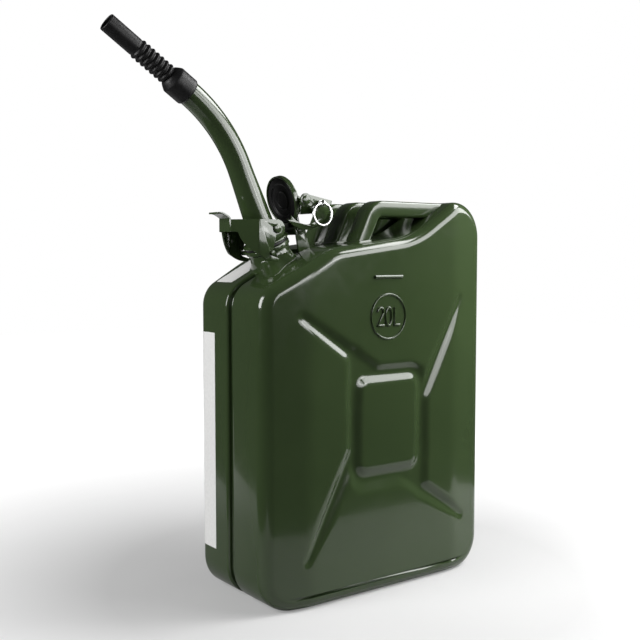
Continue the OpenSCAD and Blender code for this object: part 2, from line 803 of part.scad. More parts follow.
// Bent fork on the cap: two side plates with hooks, joined by a bridge
module cap_lever() color(green) at_cap_lever() {
  eye_r = rivet_head_r + 2.5;
  hook_out = cap_hook_r + hook_w;
  difference() {
    intersection() {
      upright(-plate_end, 2 * plate_end) {
        circle(eye_r);
        translate([0, -eye_r + 1]) square([cap_lever_l, 2 * eye_r - 2]);
        arc_band(cap_hook_r, hook_out, cap_hook_tip_a, cap_hook_root_a);
        arc_band(eye_r, hook_out, cap_hook_root_a + 4 - hook_root_a, cap_hook_root_a + 4 + hook_root_a);
      }
      linear_extrude(4 * hook_out, center = true) difference() {
        translate([-hook_out, -plate_end]) square([hook_out + cap_lever_l, 2 * plate_end]);
        translate([-hook_out - over, -lever_gap])
          square([hook_out + over + cap_lever_l - lever_t, 2 * lever_gap]);
      }
    }
    cross_pin(pivot_r + pin_gap, plate_end + over);
    translate([safety_x, 0, 0]) rotate([90, 0, 0]) cylinder(r = safety_r + pin_gap, h = plate_end + over);
  }
}

// Pull-out pin in the near plate of the cap lever, with a level hole in its eye for the ring
module safety_pin() color(steel) at_cap_lever() translate([safety_x, 0, 0]) rotate([90, 0, 0])
  difference() {
    union() {
      translate([0, 0, lever_gap - safety_in]) cylinder(r = safety_r, h = safety_in + eye_y - lever_gap);
      translate([0, 0, plate_end + side_gap]) cylinder(r = safety_head_r, h = 2);
      translate([0, 0, eye_y - safety_head_r]) cylinder(r = safety_head_r, h = 2 * safety_head_r);
    }
    translate([0, 0, eye_y]) rotate([0, 0, lever_lean]) rotate([0, 90, 0])
      cylinder(r = ring_wire_r + ring_gap, h = 4 * safety_head_r, center = true);
  }

// Wire ring that hangs in the eye
module pull_ring() color(steel) {
  pivot = hinge + turned([cap_pivot_x - hinge_x, cap_pivot_z - hinge_z], neck_tilt - cap_open);
  eye = pivot + turned([safety_x, 0], -lever_lean);
  translate([eye[0], -eye_y, eye[1] - ring_r]) rotate([90, 0, 0]) rotate_extrude()
    translate([ring_r, 0]) circle(ring_wire_r, $fn = 24);
}

// Flanged head with a socket for the tube and two bosses for the lever's rivets
module spout_head() color(green) {
  difference() {
    union() {
      at_neck() rotate_extrude() polygon([
        [0, flange_z],
        [flange_r, flange_z],
        [flange_r, socket_z],
        [socket_r + 2, socket_z + 4],
        [socket_r, socket_z + 9],
        [socket_r, socket_top],
        [0, socket_top]]);
      at_spout_pivot() cross_pin(pivot_r + 3.5, lever_gap - side_gap);
    }
    at_neck() {
      translate([0, 0, socket_z]) cylinder(r = tube_r + press_gap, h = 2 * socket_h);
      translate([0, 0, flange_z - over]) cylinder(r = tube_r - tube_wall, h = 2 * socket_h);
    }
    at_spout_pivot() both_sides() rotate([-90, 0, 0]) translate([0, 0, socket_r + 1])
      cylinder(r = pivot_r + press_gap, h = lever_gap);
  }
}

module spout_gasket() color(rubber) at_neck() difference() {
  translate([0, 0, seat_gap]) cylinder(r = rim_r - 0.5, h = spout_gasket_t);
  translate([0, 0, -over]) cylinder(r = spout_gasket_r, h = spout_gasket_t + 3 * over);
}

// Perforated strainer plate under the head
module filter_screen() color(steel) at_neck() translate([0, 0, flange_z - screen_t]) difference() {
  cylinder(r = spout_gasket_r - side_gap, h = screen_t);
  for (ring = [0:3], k = [0:max(0, 6 * ring - 1)]) {
    rotate([0, 0, k * 60 / max(1, ring)]) translate([ring * screen_pitch, 0, -over])
      cylinder(r = screen_hole_r, h = screen_t + 2 * over, $fn = 16);
  }
}

// Solid form of the bent tube; skin is taken off its radius
module tube_form(skin) {
  at_neck() {
    translate([0, 0, socket_z]) cylinder(r = tube_r - skin, h = socket_h);
    translate([0, 0, socket_top])
      cylinder(r1 = tube_r - skin, r2 = tube_end_r - skin, h = bend_start - socket_top);
    translate([-bend_r, 0, bend_start]) rotate([90, 0, 0]) rotate_extrude(angle = bend_a)
      translate([bend_r, 0]) circle(tube_end_r - skin);
  }
  at_bend_end() translate([0, 0, -joint_lap])
    cylinder(r = tube_end_r - skin - insert_step, h = tube_in_collar - press_gap + joint_lap);
}

module spout_tube() color(green) difference() {
  tube_form(0);
  tube_form(tube_wall);
}

// Rubber nozzle: chamfered collar, ribs and a smooth tip round one bore
module nozzle() color(rubber) {
  neck_in = rib_r - rib_depth;
  ribs_end = collar_l + rib_count * rib_pitch;
  ribs = [for (k = [0:rib_count - 1], p = [[0.15, 0], [0.3, 1], [0.7, 1], [0.85, 0]])
    [neck_in + rib_depth * p[1], collar_l + (k + p[0]) * rib_pitch]];
  at_bend_end() rotate_extrude() polygon(concat(
    [[tube_end_r - insert_step + press_gap, press_gap],
      [collar_r - collar_chamfer, press_gap],
      [collar_r, press_gap + collar_chamfer],
      [collar_r, collar_l - 8],
      [collar_r - 4, collar_l - 2],
      [neck_in, collar_l]],
    ribs,
    [[neck_in, ribs_end],
      [tip_r, ribs_end + 1],
      [tip_r, ribs_end + tip_l - 1.5],
      [tip_r - 1.5, ribs_end + tip_l],
      [bore_r, ribs_end + tip_l],
      [bore_r, tube_in_collar],
      [tube_end_r - insert_step + press_gap, tube_in_collar]]));
}

// Radius of the cam slot's middle at a lift angle
function cam_r(a) = norm(stud_from_pivot - seat_lift * min(1, a / spout_lift));

// Side view of the spout lever: round eye, arm, broad cheek and hook, with the cam slot cut out
module spout_lever_side() {
  bridge = [-spout_lever_reach, spout_lever_rise];
  slot = [for (a = [0:5:hook_reach + 15]) [cam_r(a), stud_a + a]];
  difference() {
    union() {
      circle(spout_lever_eye);
      polygon(concat(
        [[0, spout_lever_eye],
          bridge + [0, bridge_h / 2],
          bridge - [0, bridge_h / 2]],
        [for (a = [186:8:234]) (hook_r + cheek_bulge * (234 - a) / 48) * [cos(a), sin(a)]],
        [[0, 0]]));
      arc_band(0, hook_r, 230, stud_a + 1);
      arc_band(slot_out, hook_r, stud_a, stud_a + hook_reach);
    }
    circle(pivot_r + pin_gap);
    translate(stud_from_pivot) circle(slot_half);
    polygon(concat(
      [for (s = slot) (s[0] + slot_half) * [cos(s[1]), sin(s[1])]],
      [for (k = [len(slot) - 1:-1:0]) (slot[k][0] - slot_half - 2) * [cos(slot[k][1]), sin(slot[k][1])]]));
  }
}

// Plan view of the spout lever: wide at the pivots, drawn in to the bridge; t is taken off all round
module spout_lever_plan(t) {
  points = [
    [spout_lever_eye + over, plate_end - t],
    [-cheek_run, plate_end - t],
    [-spout_lever_reach + t, bridge_w - t]];
  polygon(concat(points, [for (k = [2:-1:0]) [points[k][0], -points[k][1]]]));
}

// Bent fork with cam hooks: pressed down, it pulls the spout on to the neck
module spout_lever() color(green) at_spout_lever() {
  intersection() {
    upright(-plate_end, 2 * plate_end) spout_lever_side();
    linear_extrude(4 * hook_r, center = true) difference() {
      spout_lever_plan(0);
      spout_lever_plan(lever_t);
      translate([spout_lever_eye, -lever_gap]) square([2 * over, 2 * lever_gap]);
    }
  }
  translate([-spout_lever_reach, 0, spout_lever_rise + bridge_h / 2]) rotate([0, tab_a, 0])
    translate([-tab_l, -tab_w, -lever_t]) cube([tab_l + lever_t, 2 * tab_w, lever_t]);
}

module lever_rivets() color(steel) at_spout_pivot() both_sides() rotate([-90, 0, 0]) {
  translate([0, 0, socket_r + 1]) cylinder(r = pivot_r, h = plate_end + side_gap - socket_r - 1);
  translate([0, 0, plate_end + side_gap])
    cylinder(r1 = rivet_head_r, r2 = rivet_head_r - 1, h = rivet_head_t);
}

front_shell();
back_shell();
seam_weld();
front_handle();
middle_handle();
back_handle();
neck();
breather_tube();
hinge_bracket();
hinge_pin();
cap();
cap_gasket();
cap_strap();
cap_stop();
cap_lever_pin();
cap_lever();
safety_pin();
pull_ring();
spout_head();
spout_gasket();
filter_screen();
spout_tube();
nozzle();
spout_lever();
lever_rivets();
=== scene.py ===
from math import atan2, ceil, copysign, cos, degrees, dist, exp, hypot, pi, radians, sin, tan

import bmesh
import bpy
import numpy as np
from mathutils import Matrix, Vector


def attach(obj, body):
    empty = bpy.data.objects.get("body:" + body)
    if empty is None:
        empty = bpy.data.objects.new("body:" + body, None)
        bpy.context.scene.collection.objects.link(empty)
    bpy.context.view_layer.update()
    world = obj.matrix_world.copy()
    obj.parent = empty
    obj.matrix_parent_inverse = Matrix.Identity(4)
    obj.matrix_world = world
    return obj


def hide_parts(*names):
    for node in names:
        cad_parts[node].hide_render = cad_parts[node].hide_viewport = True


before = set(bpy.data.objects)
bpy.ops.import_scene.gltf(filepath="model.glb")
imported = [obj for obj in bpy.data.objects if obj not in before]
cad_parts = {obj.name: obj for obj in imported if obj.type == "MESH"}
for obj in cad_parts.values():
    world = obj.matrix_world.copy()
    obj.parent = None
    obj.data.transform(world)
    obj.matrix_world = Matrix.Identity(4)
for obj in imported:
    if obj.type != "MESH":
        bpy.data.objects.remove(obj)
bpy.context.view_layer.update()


# Tank halves
# Two deep-drawn sheet-steel pressings, each with a rolled edge that turns in to the seam.
# A crossed groove stiffens each broad face, and the whole tank is sprayed with glossy green enamel.
tank_corners = [  # x, z and radius, from the front foot round to the front shoulder
    (-0.1725, 0.0, 0.040),
    (0.1725, 0.0, 0.040),
    (0.1725, 0.480, 0.046),
    (0.1165, 0.480, 0.026),
    (0.0470, 0.436, 0.120),
    (-0.0790, 0.420, 0.060),
    (-0.1725, 0.370, 0.032),
]
(crest_x, crest_z, _), (front_x, front_z, _) = tank_corners[5:7]
shoulder_slope = atan2(crest_z - front_z, crest_x - front_x)
face_y, edge_r = 0.0825, 0.014
seam_half, seam_depth, seam_floor_r, lip_r = 0.005, 0.007, 0.002, 0.004
sheet = 0.001
margin_x, margin_slope, margin_blend, margin_from = 0.1145, tan(radians(11)), 0.010, 0.012
press_centre = (0.0035, 0.207)
groove_floor, groove_run, groove_depth, groove_blend = 0.0013, 0.0110, 0.0045, 0.004
crown = 0.0005


def margin_drop(x):
    """Depth by which the sloped margins of the broad face fall back at a place across it."""
    u = np.abs(x) - margin_x
    soft = np.clip(u + margin_blend, 0, 2 * margin_blend)
    return margin_slope * (np.maximum(u - margin_blend, 0) + soft * soft / (4 * margin_blend))


def drawn_in(x, y):
    """Distance from the seam of a place on the side of the tank, less the fall of the margins."""
    share = min(max((y - margin_from) / (face_y - edge_r - margin_from), 0), 1)
    return y - share * float(margin_drop(x))


def left_of(v):
    return Vector((-v.y, v.x))


def arc(cx, cy, r, start, end, steps, ry=None):
    """Arc of [x, y] points between two angles in degrees, of an ellipse if a second radius is given."""
    turns = np.radians(np.linspace(start, end, steps + 1))
    return [(cx + r * cos(t), cy + (ry or r) * sin(t)) for t in turns]


def tank_outline(inset, arc_step=3.0, run_step=0.009):
    """Closed line of [x, z] points on the tank's outline, moved inwards by inset."""
    count = len(tank_corners)
    arcs = []
    for i in range(count):
        before, at, after = (Vector(tank_corners[(i + k) % count][:2]) for k in (-1, 0, 1))
        u, v = (at - before).normalized(), (after - at).normalized()
        turn = atan2(u.x * v.y - u.y * v.x, u.dot(v))
        side = copysign(1, turn)
        r = tank_corners[i][2] - side * inset
        corner = at + inset * (left_of(u) + left_of(v)) / (1 + u.dot(v))
        start = corner - u * r * tan(abs(turn) / 2)
        centre = start + side * r * left_of(u)
        steps = ceil(degrees(abs(turn)) / arc_step)
        turns = [Matrix.Rotation(turn * k / steps, 2) for k in range(steps + 1)]
        arcs.append([centre + rotation @ (start - centre) for rotation in turns])
    line = []
    for i in range(count):
        a, b = Vector(tank_corners[i][:2]), Vector(tank_corners[(i + 1) % count][:2])
        steps = max(2, round((b - a).length / run_step))
        p, q = arcs[i][-1], arcs[(i + 1) % count][0]
        line += arcs[i] + [p.lerp(q, k / steps) for k in range(1, steps)]
    return line


def only(piece):
    """Makes one piece the selected and active object."""
    bpy.ops.object.select_all(action="DESELECT")
    piece.select_set(True)
    bpy.context.view_layer.objects.active = piece


def add_piece(name, add, places=None, **settings):
    """Adds an object by one of Blender's own operators, names it, and moves its vertices to their places."""
    bpy.ops.object.select_all(action="DESELECT")
    add(**settings)
    piece = bpy.context.object
    piece.name = name
    if places is not None:
        piece.data.vertices.foreach_set("co", np.array(places, dtype=np.float32).ravel())
    return piece


def merge_pieces(piece, *others):
    """Joins pieces that are one solid on the real object."""
    only(piece)
    for other in others:
        other.select_set(True)
    bpy.ops.object.join()


def pick(piece, kind, test):
    """In edit mode, selects only the vertices, edges or faces that pass a test."""
    bpy.ops.mesh.select_mode(type=kind)
    bpy.ops.mesh.select_all(action="DESELECT")
    mesh = bmesh.from_edit_mesh(piece.data)
    for part in {"VERT": mesh.verts, "EDGE": mesh.edges, "FACE": mesh.faces}[kind]:
        if test(part):
            part.select_set(True)
    mesh.select_flush_mode()
    bmesh.update_edit_mesh(piece.data)


def edit_all():
    """Enters edit mode with all of the active piece selected."""
    bpy.ops.object.mode_set(mode="EDIT")
    bpy.ops.mesh.select_all(action="SELECT")


def face_outwards():
    """Turns all the faces outwards and leaves edit mode."""
    bpy.ops.mesh.select_all(action="SELECT")
    bpy.ops.mesh.normals_make_consistent(inside=False)
    bpy.ops.object.mode_set(mode="OBJECT")


def add_modifier(piece, kind, **settings):
    """Adds a modifier with its settings and applies it at once."""
    only(piece)
    bpy.ops.object.modifier_add(type=kind)
    modifier = piece.modifiers[-1]
    for key, value in settings.items():
        setattr(modifier, key, value)
    bpy.ops.object.modifier_apply(modifier=modifier.name)


def skin(name, rings, closed_ring=True, capped=False):
    """Mesh over rows of points: a grid is added, laid over the rows, and sewn up along its own edge."""
    columns = len(rings[0]) + (1 if closed_ring else 0)
    places = [ring[k % len(ring)] for ring in rings for k in range(columns)]
    piece = add_piece(name, bpy.ops.mesh.primitive_grid_add, places,
                      x_subdivisions=columns - 1, y_subdivisions=len(rings) - 1)
    edit_all()
    bpy.ops.mesh.remove_doubles(threshold=1e-6)
    if capped:
        pick(piece, "EDGE", lambda e: e.is_boundary)
        bpy.ops.mesh.edge_face_add()
    face_outwards()
    return piece


def inside_depth(x, z, line):
    """Distance of points inside a closed line from it, and less than 0 outside."""
    a = np.array([tuple(p) for p in line])
    b = np.roll(a, -1, axis=0)
    best = np.full(len(x), 1.0)
    inside = np.zeros(len(x), dtype=bool)
    for p, q in zip(a, b):
        d = q - p
        along = np.clip(((x - p[0]) * d[0] + (z - p[1]) * d[1]) / max(d @ d, 1e-12), 0, 1)
        best = np.minimum(best, np.hypot(x - p[0] - along * d[0], z - p[1] - along * d[1]))
        crosses = (p[1] > z) != (q[1] > z)
        if d[1] != 0:
            inside ^= crosses & (x < p[0] + (z - p[1]) * d[0] / d[1])
    return np.where(inside, best, -best)


def groove_depth_at(x, z):
    """Depth of the crossed pressing at points of the broad face: a ring with an arm to each corner."""
    ring, ring_r = np.array([0.0542, 0.0630]), 0.020
    low_reach, low_fade, low_widening = 0.066, 0.020, 0.38
    steep, shallow = ((0.0575, 0.034), (0.121, 0.150)), ((-0.024, 0.0670), (-0.127, 0.134))
    stem = ((-0.0542, 0.030), (-0.0542, 0.087))
    web_corners = ((-0.0542, 0.058), (-0.030, 0.065), (-0.0542, 0.086))
    arm_taper, wall_ease = 0.0055, 0.14
    point = np.stack([x - press_centre[0], z - press_centre[1]], axis=1)
    outside = np.abs(point) - ring + ring_r
    from_core = np.linalg.norm(np.maximum(outside, 0), axis=1) + np.minimum(outside.max(axis=1), 0)
    near = np.abs(from_core - ring_r)
    below = (point[:, 1] < -ring[1]) * np.clip((low_reach - np.abs(point[:, 0])) / low_fade, 0, 1)
    near = near * (1 - low_widening * below)
    for side in (1, -1):
        for start, end, taper in ((*steep, arm_taper), (*shallow, arm_taper), (*stem, 0)):
            a, b = side * np.array(start), side * np.array(end)
            along = np.clip((point - a) @ (b - a) / ((b - a) @ (b - a)), 0, 1)
            away = np.linalg.norm(point - a - along[:, None] * (b - a), axis=1) + taper * along * along
            mix = np.clip(groove_blend - np.abs(near - away), 0, None)
            near = np.minimum(near, away) - mix * mix / (4 * groove_blend)
        web = [side * Vector(p) for p in web_corners]
        near = np.where(inside_depth(point[:, 0], point[:, 1], web) > 0, 0, near)
    t = np.clip((near - groove_floor) / groove_run, 0, 1)
    bend = 2 * wall_ease * (1 - wall_ease)
    wall = np.where(t < wall_ease, t * t / bend, (t - wall_ease / 2) / (1 - wall_ease))
    wall = np.where(t > 1 - wall_ease, 1 - (1 - t) ** 2 / bend, wall)
    return groove_depth * (1 - wall)


section = [(seam_depth, 0.0)]
section += arc(seam_depth - seam_floor_r, seam_half - seam_floor_r, seam_floor_r, 0, 90, 6)
section += arc(lip_r, seam_half + lip_r, lip_r, 270, 180, 9)
section += arc(edge_r, face_y - edge_r, edge_r, 180, 90, 14)
rows = [[(p.x, drawn_in(p.x, y), p.y) for p in tank_outline(inset)] for inset, y in section]
back_half = skin("back_half", rows)

# The broad face is a fine grid that is pressed to shape and sewn into the rolled edge.
cell, cells_x, cells_z, grid_foot = 0.0021, 160, 226, 0.003
bulge_run, face_gap = 0.085, 0.0022
grid_x = (np.arange(cells_x + 1) - cells_x // 2) * cell
grid_z = grid_foot + np.arange(cells_z + 1) * cell
x, z = (g.ravel() for g in np.meshgrid(grid_x, grid_z))
depth = inside_depth(x, z, tank_outline(edge_r))
bulge = np.clip(depth / bulge_run, 0, 1)
pressed = groove_depth_at(x, z).reshape(len(grid_z), len(grid_x))
for turn in range(4):
    pressed[1:-1] = (pressed[:-2] + 2 * pressed[1:-1] + pressed[2:]) / 4
    pressed = np.ascontiguousarray(pressed.T)
y = face_y + crown * bulge * bulge * (3 - 2 * bulge) - margin_drop(x) - pressed.ravel()
face = add_piece("broad_face", bpy.ops.mesh.primitive_grid_add, np.stack([x, y, z], axis=1),
                 x_subdivisions=cells_x, y_subdivisions=cells_z)
bpy.ops.object.mode_set(mode="EDIT")
pick(face, "VERT", lambda v: depth[v.index] < face_gap)
bpy.ops.mesh.delete(type="VERT")
bpy.ops.object.mode_set(mode="OBJECT")
merge_pieces(back_half, face)
bpy.ops.object.mode_set(mode="EDIT")
pick(back_half, "EDGE", lambda e: e.is_boundary and min(v.co.y for v in e.verts) > face_y / 2)
bpy.ops.mesh.fill(use_beauty=True)

# An oval hole in the shoulder takes the neck.
along_shoulder = Vector((cos(shoulder_slope), 0, sin(shoulder_slope)))
off_shoulder = Vector((-sin(shoulder_slope), 0, cos(shoulder_slope)))
hole_half_x, hole_half_y, hole_reach = 0.0205, 0.036, 0.012


def on_shoulder(run, y=0.0):
    """Point on the shoulder, at a distance along X from the front of the tank."""
    return Vector((front_x + run, y, front_z + run * tan(shoulder_slope)))


def under_neck(f):
    p = f.calc_center_median() - neck_foot
    in_oval = hypot(p.dot(along_shoulder) / hole_half_x, p.y / hole_half_y) < 1
    return in_oval and abs(p.dot(off_shoulder)) < hole_reach


neck_foot = on_shoulder(0.062)
pick(back_half, "FACE", under_neck)
bpy.ops.mesh.delete(type="FACE")
face_outwards()
add_modifier(back_half, "SOLIDIFY", thickness=sheet, offset=-1)
only(back_half)
bpy.ops.object.duplicate()
front_half = bpy.context.object
front_half.name = "front_half"
front_half.scale = (1, -1, 1)
bpy.ops.object.transform_apply(location=True, rotation=True, scale=True)
edit_all()
face_outwards()


def add_node(tree, kind, settings=None, **values):
    """Adds a shader node, sets its options and the values of its sockets."""
    made = tree.nodes.new(kind)
    for key, value in (settings or {}).items():
        setattr(made, key, value)
    for key, value in values.items():
        made.inputs[key.replace("_", " ")].default_value = value
    return made


def mottle(tree, place, scale, detail, low, high):
    """Soft noise between two numbers, or between two colours."""
    noise = add_node(tree, "ShaderNodeTexNoise", Scale=scale, Detail=detail)
    tree.links.new(place, noise.inputs["Vector"])
    if isinstance(low, tuple):
        ramp = add_node(tree, "ShaderNodeValToRGB")
        for stop, position, colour in zip(ramp.color_ramp.elements, (0.32, 0.68), (low, high)):
            stop.position, stop.color = position, (*colour, 1)
        tree.links.new(noise.outputs["Fac"], ramp.inputs["Fac"])
        return ramp.outputs["Color"]
    spread = add_node(tree, "ShaderNodeMapRange", From_Min=0.3, From_Max=0.7, To_Min=low, To_Max=high)
    tree.links.new(noise.outputs["Fac"], spread.inputs["Value"])
    return spread.outputs["Result"]


def new_finish(name, clouds, grains=(), **values):
    """Material with clouds of (scale, detail, low, high) on its sockets, and plain values on the others.
    Its grains, from coarse to fine, are bumps of (scale, detail, strength, distance)."""
    finish = bpy.data.materials.new(name)
    finish.use_nodes = True
    tree = finish.node_tree
    surface = tree.nodes["Principled BSDF"]
    place = add_node(tree, "ShaderNodeTexCoord").outputs["Object"]
    for key, cloud in clouds.items():
        tree.links.new(mottle(tree, place, *cloud), surface.inputs[key])
    under = None
    for scale, detail, strength, distance in grains:
        bump = add_node(tree, "ShaderNodeBump", Strength=strength, Distance=distance)
        tree.links.new(mottle(tree, place, scale, detail, 0.0, 1.0), bump.inputs["Height"])
        if under is not None:
            tree.links.new(under, bump.inputs["Normal"])
        under = bump.outputs["Normal"]
        tree.links.new(under, surface.inputs["Normal"])
    for key, value in values.items():
        surface.inputs[key.replace("_", " ")].default_value = value
    return finish


# Sprayed enamel: two close greens in soft clouds, a slight ripple of the sheet, and fine orange peel.
enamel = new_finish(
    "green_enamel",
    {"Base Color": (7, 2, (0.031, 0.052, 0.018), (0.036, 0.059, 0.021)), "Roughness": (60, 3, 0.11, 0.17)},
    [(16, 1, 0.10, 0.0010), (520, 2, 0.035, 0.0003)],
    IOR=1.46, Coat_Weight=0.30, Coat_Roughness=0.04)


def give(piece, finish, body, slot, *nodes, angle=38):
    """Smooths a finished piece, paints it, and fixes it to the body that carries it."""
    only(piece)
    bpy.ops.object.shade_smooth_by_angle(angle=radians(angle))
    piece.data.materials.clear()
    piece.data.materials.append(finish)
    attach(piece, body)
    if nodes:
        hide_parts(*nodes)


give(back_half, enamel, "can", "green_paint", "back_shell")
give(front_half, enamel, "can", "green_paint", "front_shell")


# Capacity mark
# A ring, the figures 20 and the letter L for litres, and a short bar above them.
# They are embossed in the near half, so they stand out as thin round ridges in the same paint.
mark_x, mark_z = 0.002, 0.338
figure_foot = -0.0105
two = [(-0.0175, 0.0065)] + arc(-0.0128, 0.0060, 0.0047, 165, -45, 14)
two += [(-0.0177, figure_foot), (-0.0078, figure_foot)]
nought = arc(0, 0.0001, 0.0048, 0, 360, 40, 0.0107)
litre = [(0.0092, 0.0108), (0.0092, figure_foot), (0.0170, figure_foot)]
marks = [  # name, radius of the ridge, and lines
    ("mark_ring", 0.0014, [arc(0, 0, 0.027, 0, 360, 96)]),
    ("mark_figures", 0.00175, [two, nought, litre]),
    ("mark_bar", 0.0021, [[(-0.0215, 0.048), (0.0215, 0.048)]]),
]
for name, ridge_r, lines in marks:
    ridge = add_piece(name, bpy.ops.curve.primitive_bezier_curve_add)
    ridge.data.splines.clear()
    for line in lines:
        closed = dist(line[0], line[-1]) < 1e-6
        spline = ridge.data.splines.new("POLY")
        points = line[:-1] if closed else line
        spline.points.add(len(points) - 1)
        for k, (px, pz) in enumerate(points):
            spline.points[k].co = (mark_x + px, -face_y - crown, mark_z + pz, 1)
        spline.use_cyclic_u = closed
    ridge.data.bevel_depth = ridge_r
    ridge.data.bevel_resolution = 3
    ridge.data.use_fill_caps = True
    bpy.ops.object.convert(target="MESH")
    edit_all()
    bpy.ops.mesh.remove_doubles(threshold=1e-6)
    face_outwards()
    give(ridge, enamel, "can", "green_paint", angle=60)


# Seam weld
# The two halves meet in the recess and are joined there by one electric weld run.
# Its bead is a low ridge of overlapping ripples, painted over with the tank.
bead_half, bead_h = 0.0024, 0.0019
ripple_pitch, ripple_depth, ripple_width = 0.0034, 0.22, 0.07
weld_stop = 0.0275
seam_line = tank_outline(seam_depth, arc_step=1.0, run_step=0.0012)
from_neck = [(Vector((p.x, 0, p.y)) - neck_foot).length for p in seam_line]
first = next(k for k in range(len(seam_line)) if from_neck[k - 1] < weld_stop <= from_neck[k])
order = [*range(first, len(seam_line)), *range(first)]
seam_line = [seam_line[k] for k in order if from_neck[k] > weld_stop]
rows = []
travelled = 0.0
for k, p in enumerate(seam_line):
    before, after = seam_line[max(k - 1, 0)], seam_line[min(k + 1, len(seam_line) - 1)]
    out = -left_of((after - before).normalized())
    travelled += (p - before).length
    wave = 1 - ripple_depth * abs(sin(pi * travelled / ripple_pitch))
    half = bead_half * (1 - ripple_width + ripple_width * wave)
    flank = [(1, -0.0004), (1, 0.0002), (0.75, bead_h * 0.55 * wave), (0.4, bead_h * 0.9 * wave)]
    bead = [(-w, h) for w, h in flank] + [(0, bead_h * wave)] + flank[::-1]
    rows.append([(p.x + out.x * h, half * w, p.y + out.y * h) for w, h in bead])
weld_bead = skin("weld_bead", rows, capped=True)
give(weld_bead, enamel, "can", "green_paint", "seam_weld", angle=60)


# Handles
# Three bars of rounded square steel tube, bent down at the front and painted with the tank.
# Each is welded to the hump at its rear end and to the top of the tank at its foot.
handle_w, handle_t, handle_corner = 0.025, 0.020, 0.0048
handle_end, handle_z = 0.122, 0.469
handle_bend, handle_bend_r = Vector((0.003, handle_z)), 0.017
handle_fall = radians(64)
handle_pitch = 0.046
foot_sink = 0.004


def rounded_rect(w, h, r, steps=7):
    """Closed line round a rectangle with round corners."""
    line = []
    for k, (sx, sy) in enumerate([(1, 1), (-1, 1), (-1, -1), (1, -1)]):
        line += arc(sx * (w / 2 - r), sy * (h / 2 - r), r, 90 * k, 90 * k + 90, steps - 1)
    return line


bend_trim = handle_bend_r * tan(handle_fall / 2)
bend_centre = handle_bend + Vector((bend_trim, -handle_bend_r))
bar_line = [(Vector((handle_end, handle_z)), Vector((-1, 0)))]
for t in np.linspace(0, handle_fall, 17):
    back, up = sin(t), cos(t)
    bar_line.append((bend_centre + handle_bend_r * Vector((-back, up)), Vector((-up, -back))))
top_start, top_end = (Vector(corner[:2]) for corner in tank_corners[4:6])


def set_place(piece, place):
    """Puts a piece that was made at the origin where it belongs, and applies that place."""
    only(piece)
    piece.matrix_world = place
    bpy.ops.object.transform_apply(location=True, rotation=True, scale=True)


def to_top(p, d):
    """Distance from a point along d to the top of the tank."""
    u, w = top_end - top_start, top_start - p
    return (w.x * u.y - w.y * u.x) / (d.x * u.y - d.y * u.x)


bar_section = rounded_rect(handle_t, handle_w, handle_corner)
rows = []
for p, d in bar_line:
    rows.append([(p.x + left_of(d).x * s, w, p.y + left_of(d).y * s) for s, w in bar_section])
bend_end, bend_dir = bar_line[-1]
foot_line = []
for s, w in bar_section:
    p = bend_end + left_of(bend_dir) * s
    foot_line.append((p + bend_dir * to_top(p, bend_dir), w))
rows.append([(p.x + bend_dir.x * foot_sink, w, p.y + bend_dir.y * foot_sink) for p, w in foot_line])
middle_handle = skin("handle_middle", rows, capped=True)

# Weld fillet round the foot of a bar.
fillet_r, fillet_wave, fillet_step = 0.0022, 0.12, 2.4
middle = sum((p for p, w in foot_line), Vector((0, 0))) / len(foot_line)
up = Vector((-bend_dir.x, 0, -bend_dir.y))
fillet_ring = arc(0, 0, 1, 0, 360, 10)[:-1]
rows = []
for k, (p, w) in enumerate(foot_line):
    out = Vector((p.x - middle.x, w, p.y - middle.y)).normalized()
    r = fillet_r * (1 + fillet_wave * sin(k * fillet_step))
    rows.append([tuple(Vector((p.x, w, p.y)) + (out * c + up * s) * r) for c, s in fillet_ring])
rows.append(rows[0])
merge_pieces(middle_handle, skin("foot_weld", rows))
for name, node, side in (("handle_front", "front_handle", -1), ("handle_back", "back_handle", 1)):
    only(middle_handle)
    bpy.ops.object.duplicate()
    copy = bpy.context.object
    copy.name = name
    set_place(copy, Matrix.Translation((0, side * handle_pitch, 0)))
    give(copy, enamel, "can", "green_paint", node)
give(middle_handle, enamel, "can", "green_paint", "middle_handle")


# Filler neck
# A drawn steel neck. Its oval foot is welded into the shoulder and drawn out to a point on the near side.
# Its mouth is rolled to a rim, and a stud on each side takes the hook of a lever.
mouth = Vector((-0.119487, 0, 0.424327))
neck_tilt = radians(23)
neck_frame = Matrix.Translation(mouth) @ Matrix.Rotation(-neck_tilt, 4, "Y")
mouth_r, neck_r, rim_r = 0.0215, 0.025, 0.027
neck_low, neck_waist = -0.0125, 0.175
foot_half_x, foot_half_y = 0.0262, 0.034
lobe_reach, lobe_turn, lobe_spread = 0.024, 232, 17
foot_fillet = ((0.0014, 0.0003), (0.0016, -0.0012), (-0.0006, -0.0095))
stud_r, stud_in, stud_out = 0.0028, 0.017, 0.036
stud_x, stud_z = -0.017, -0.0035
turn_angles = np.linspace(0, 2 * pi, 120, endpoint=False)


def soften(points, r, steps=5):
    """Line of [x, y] points with its corners rounded; r is cut back where an edge is short."""
    points = [Vector(p) for p in points]
    line = [points[0]]
    for a, p, b in zip(points, points[1:], points[2:]):
        cut = min(r, 0.45 * (a - p).length, 0.45 * (b - p).length)
        start, end = p + cut * (a - p).normalized(), p + cut * (b - p).normalized()
        for s in range(steps + 1):
            t = s / steps
            line.append(start.lerp(p, t).lerp(p.lerp(end, t), t))
    return line + [points[-1]]


def neck_ring(r, h):
    return [tuple(neck_frame @ Vector((r * cos(t), r * sin(t), h))) for t in turn_angles]


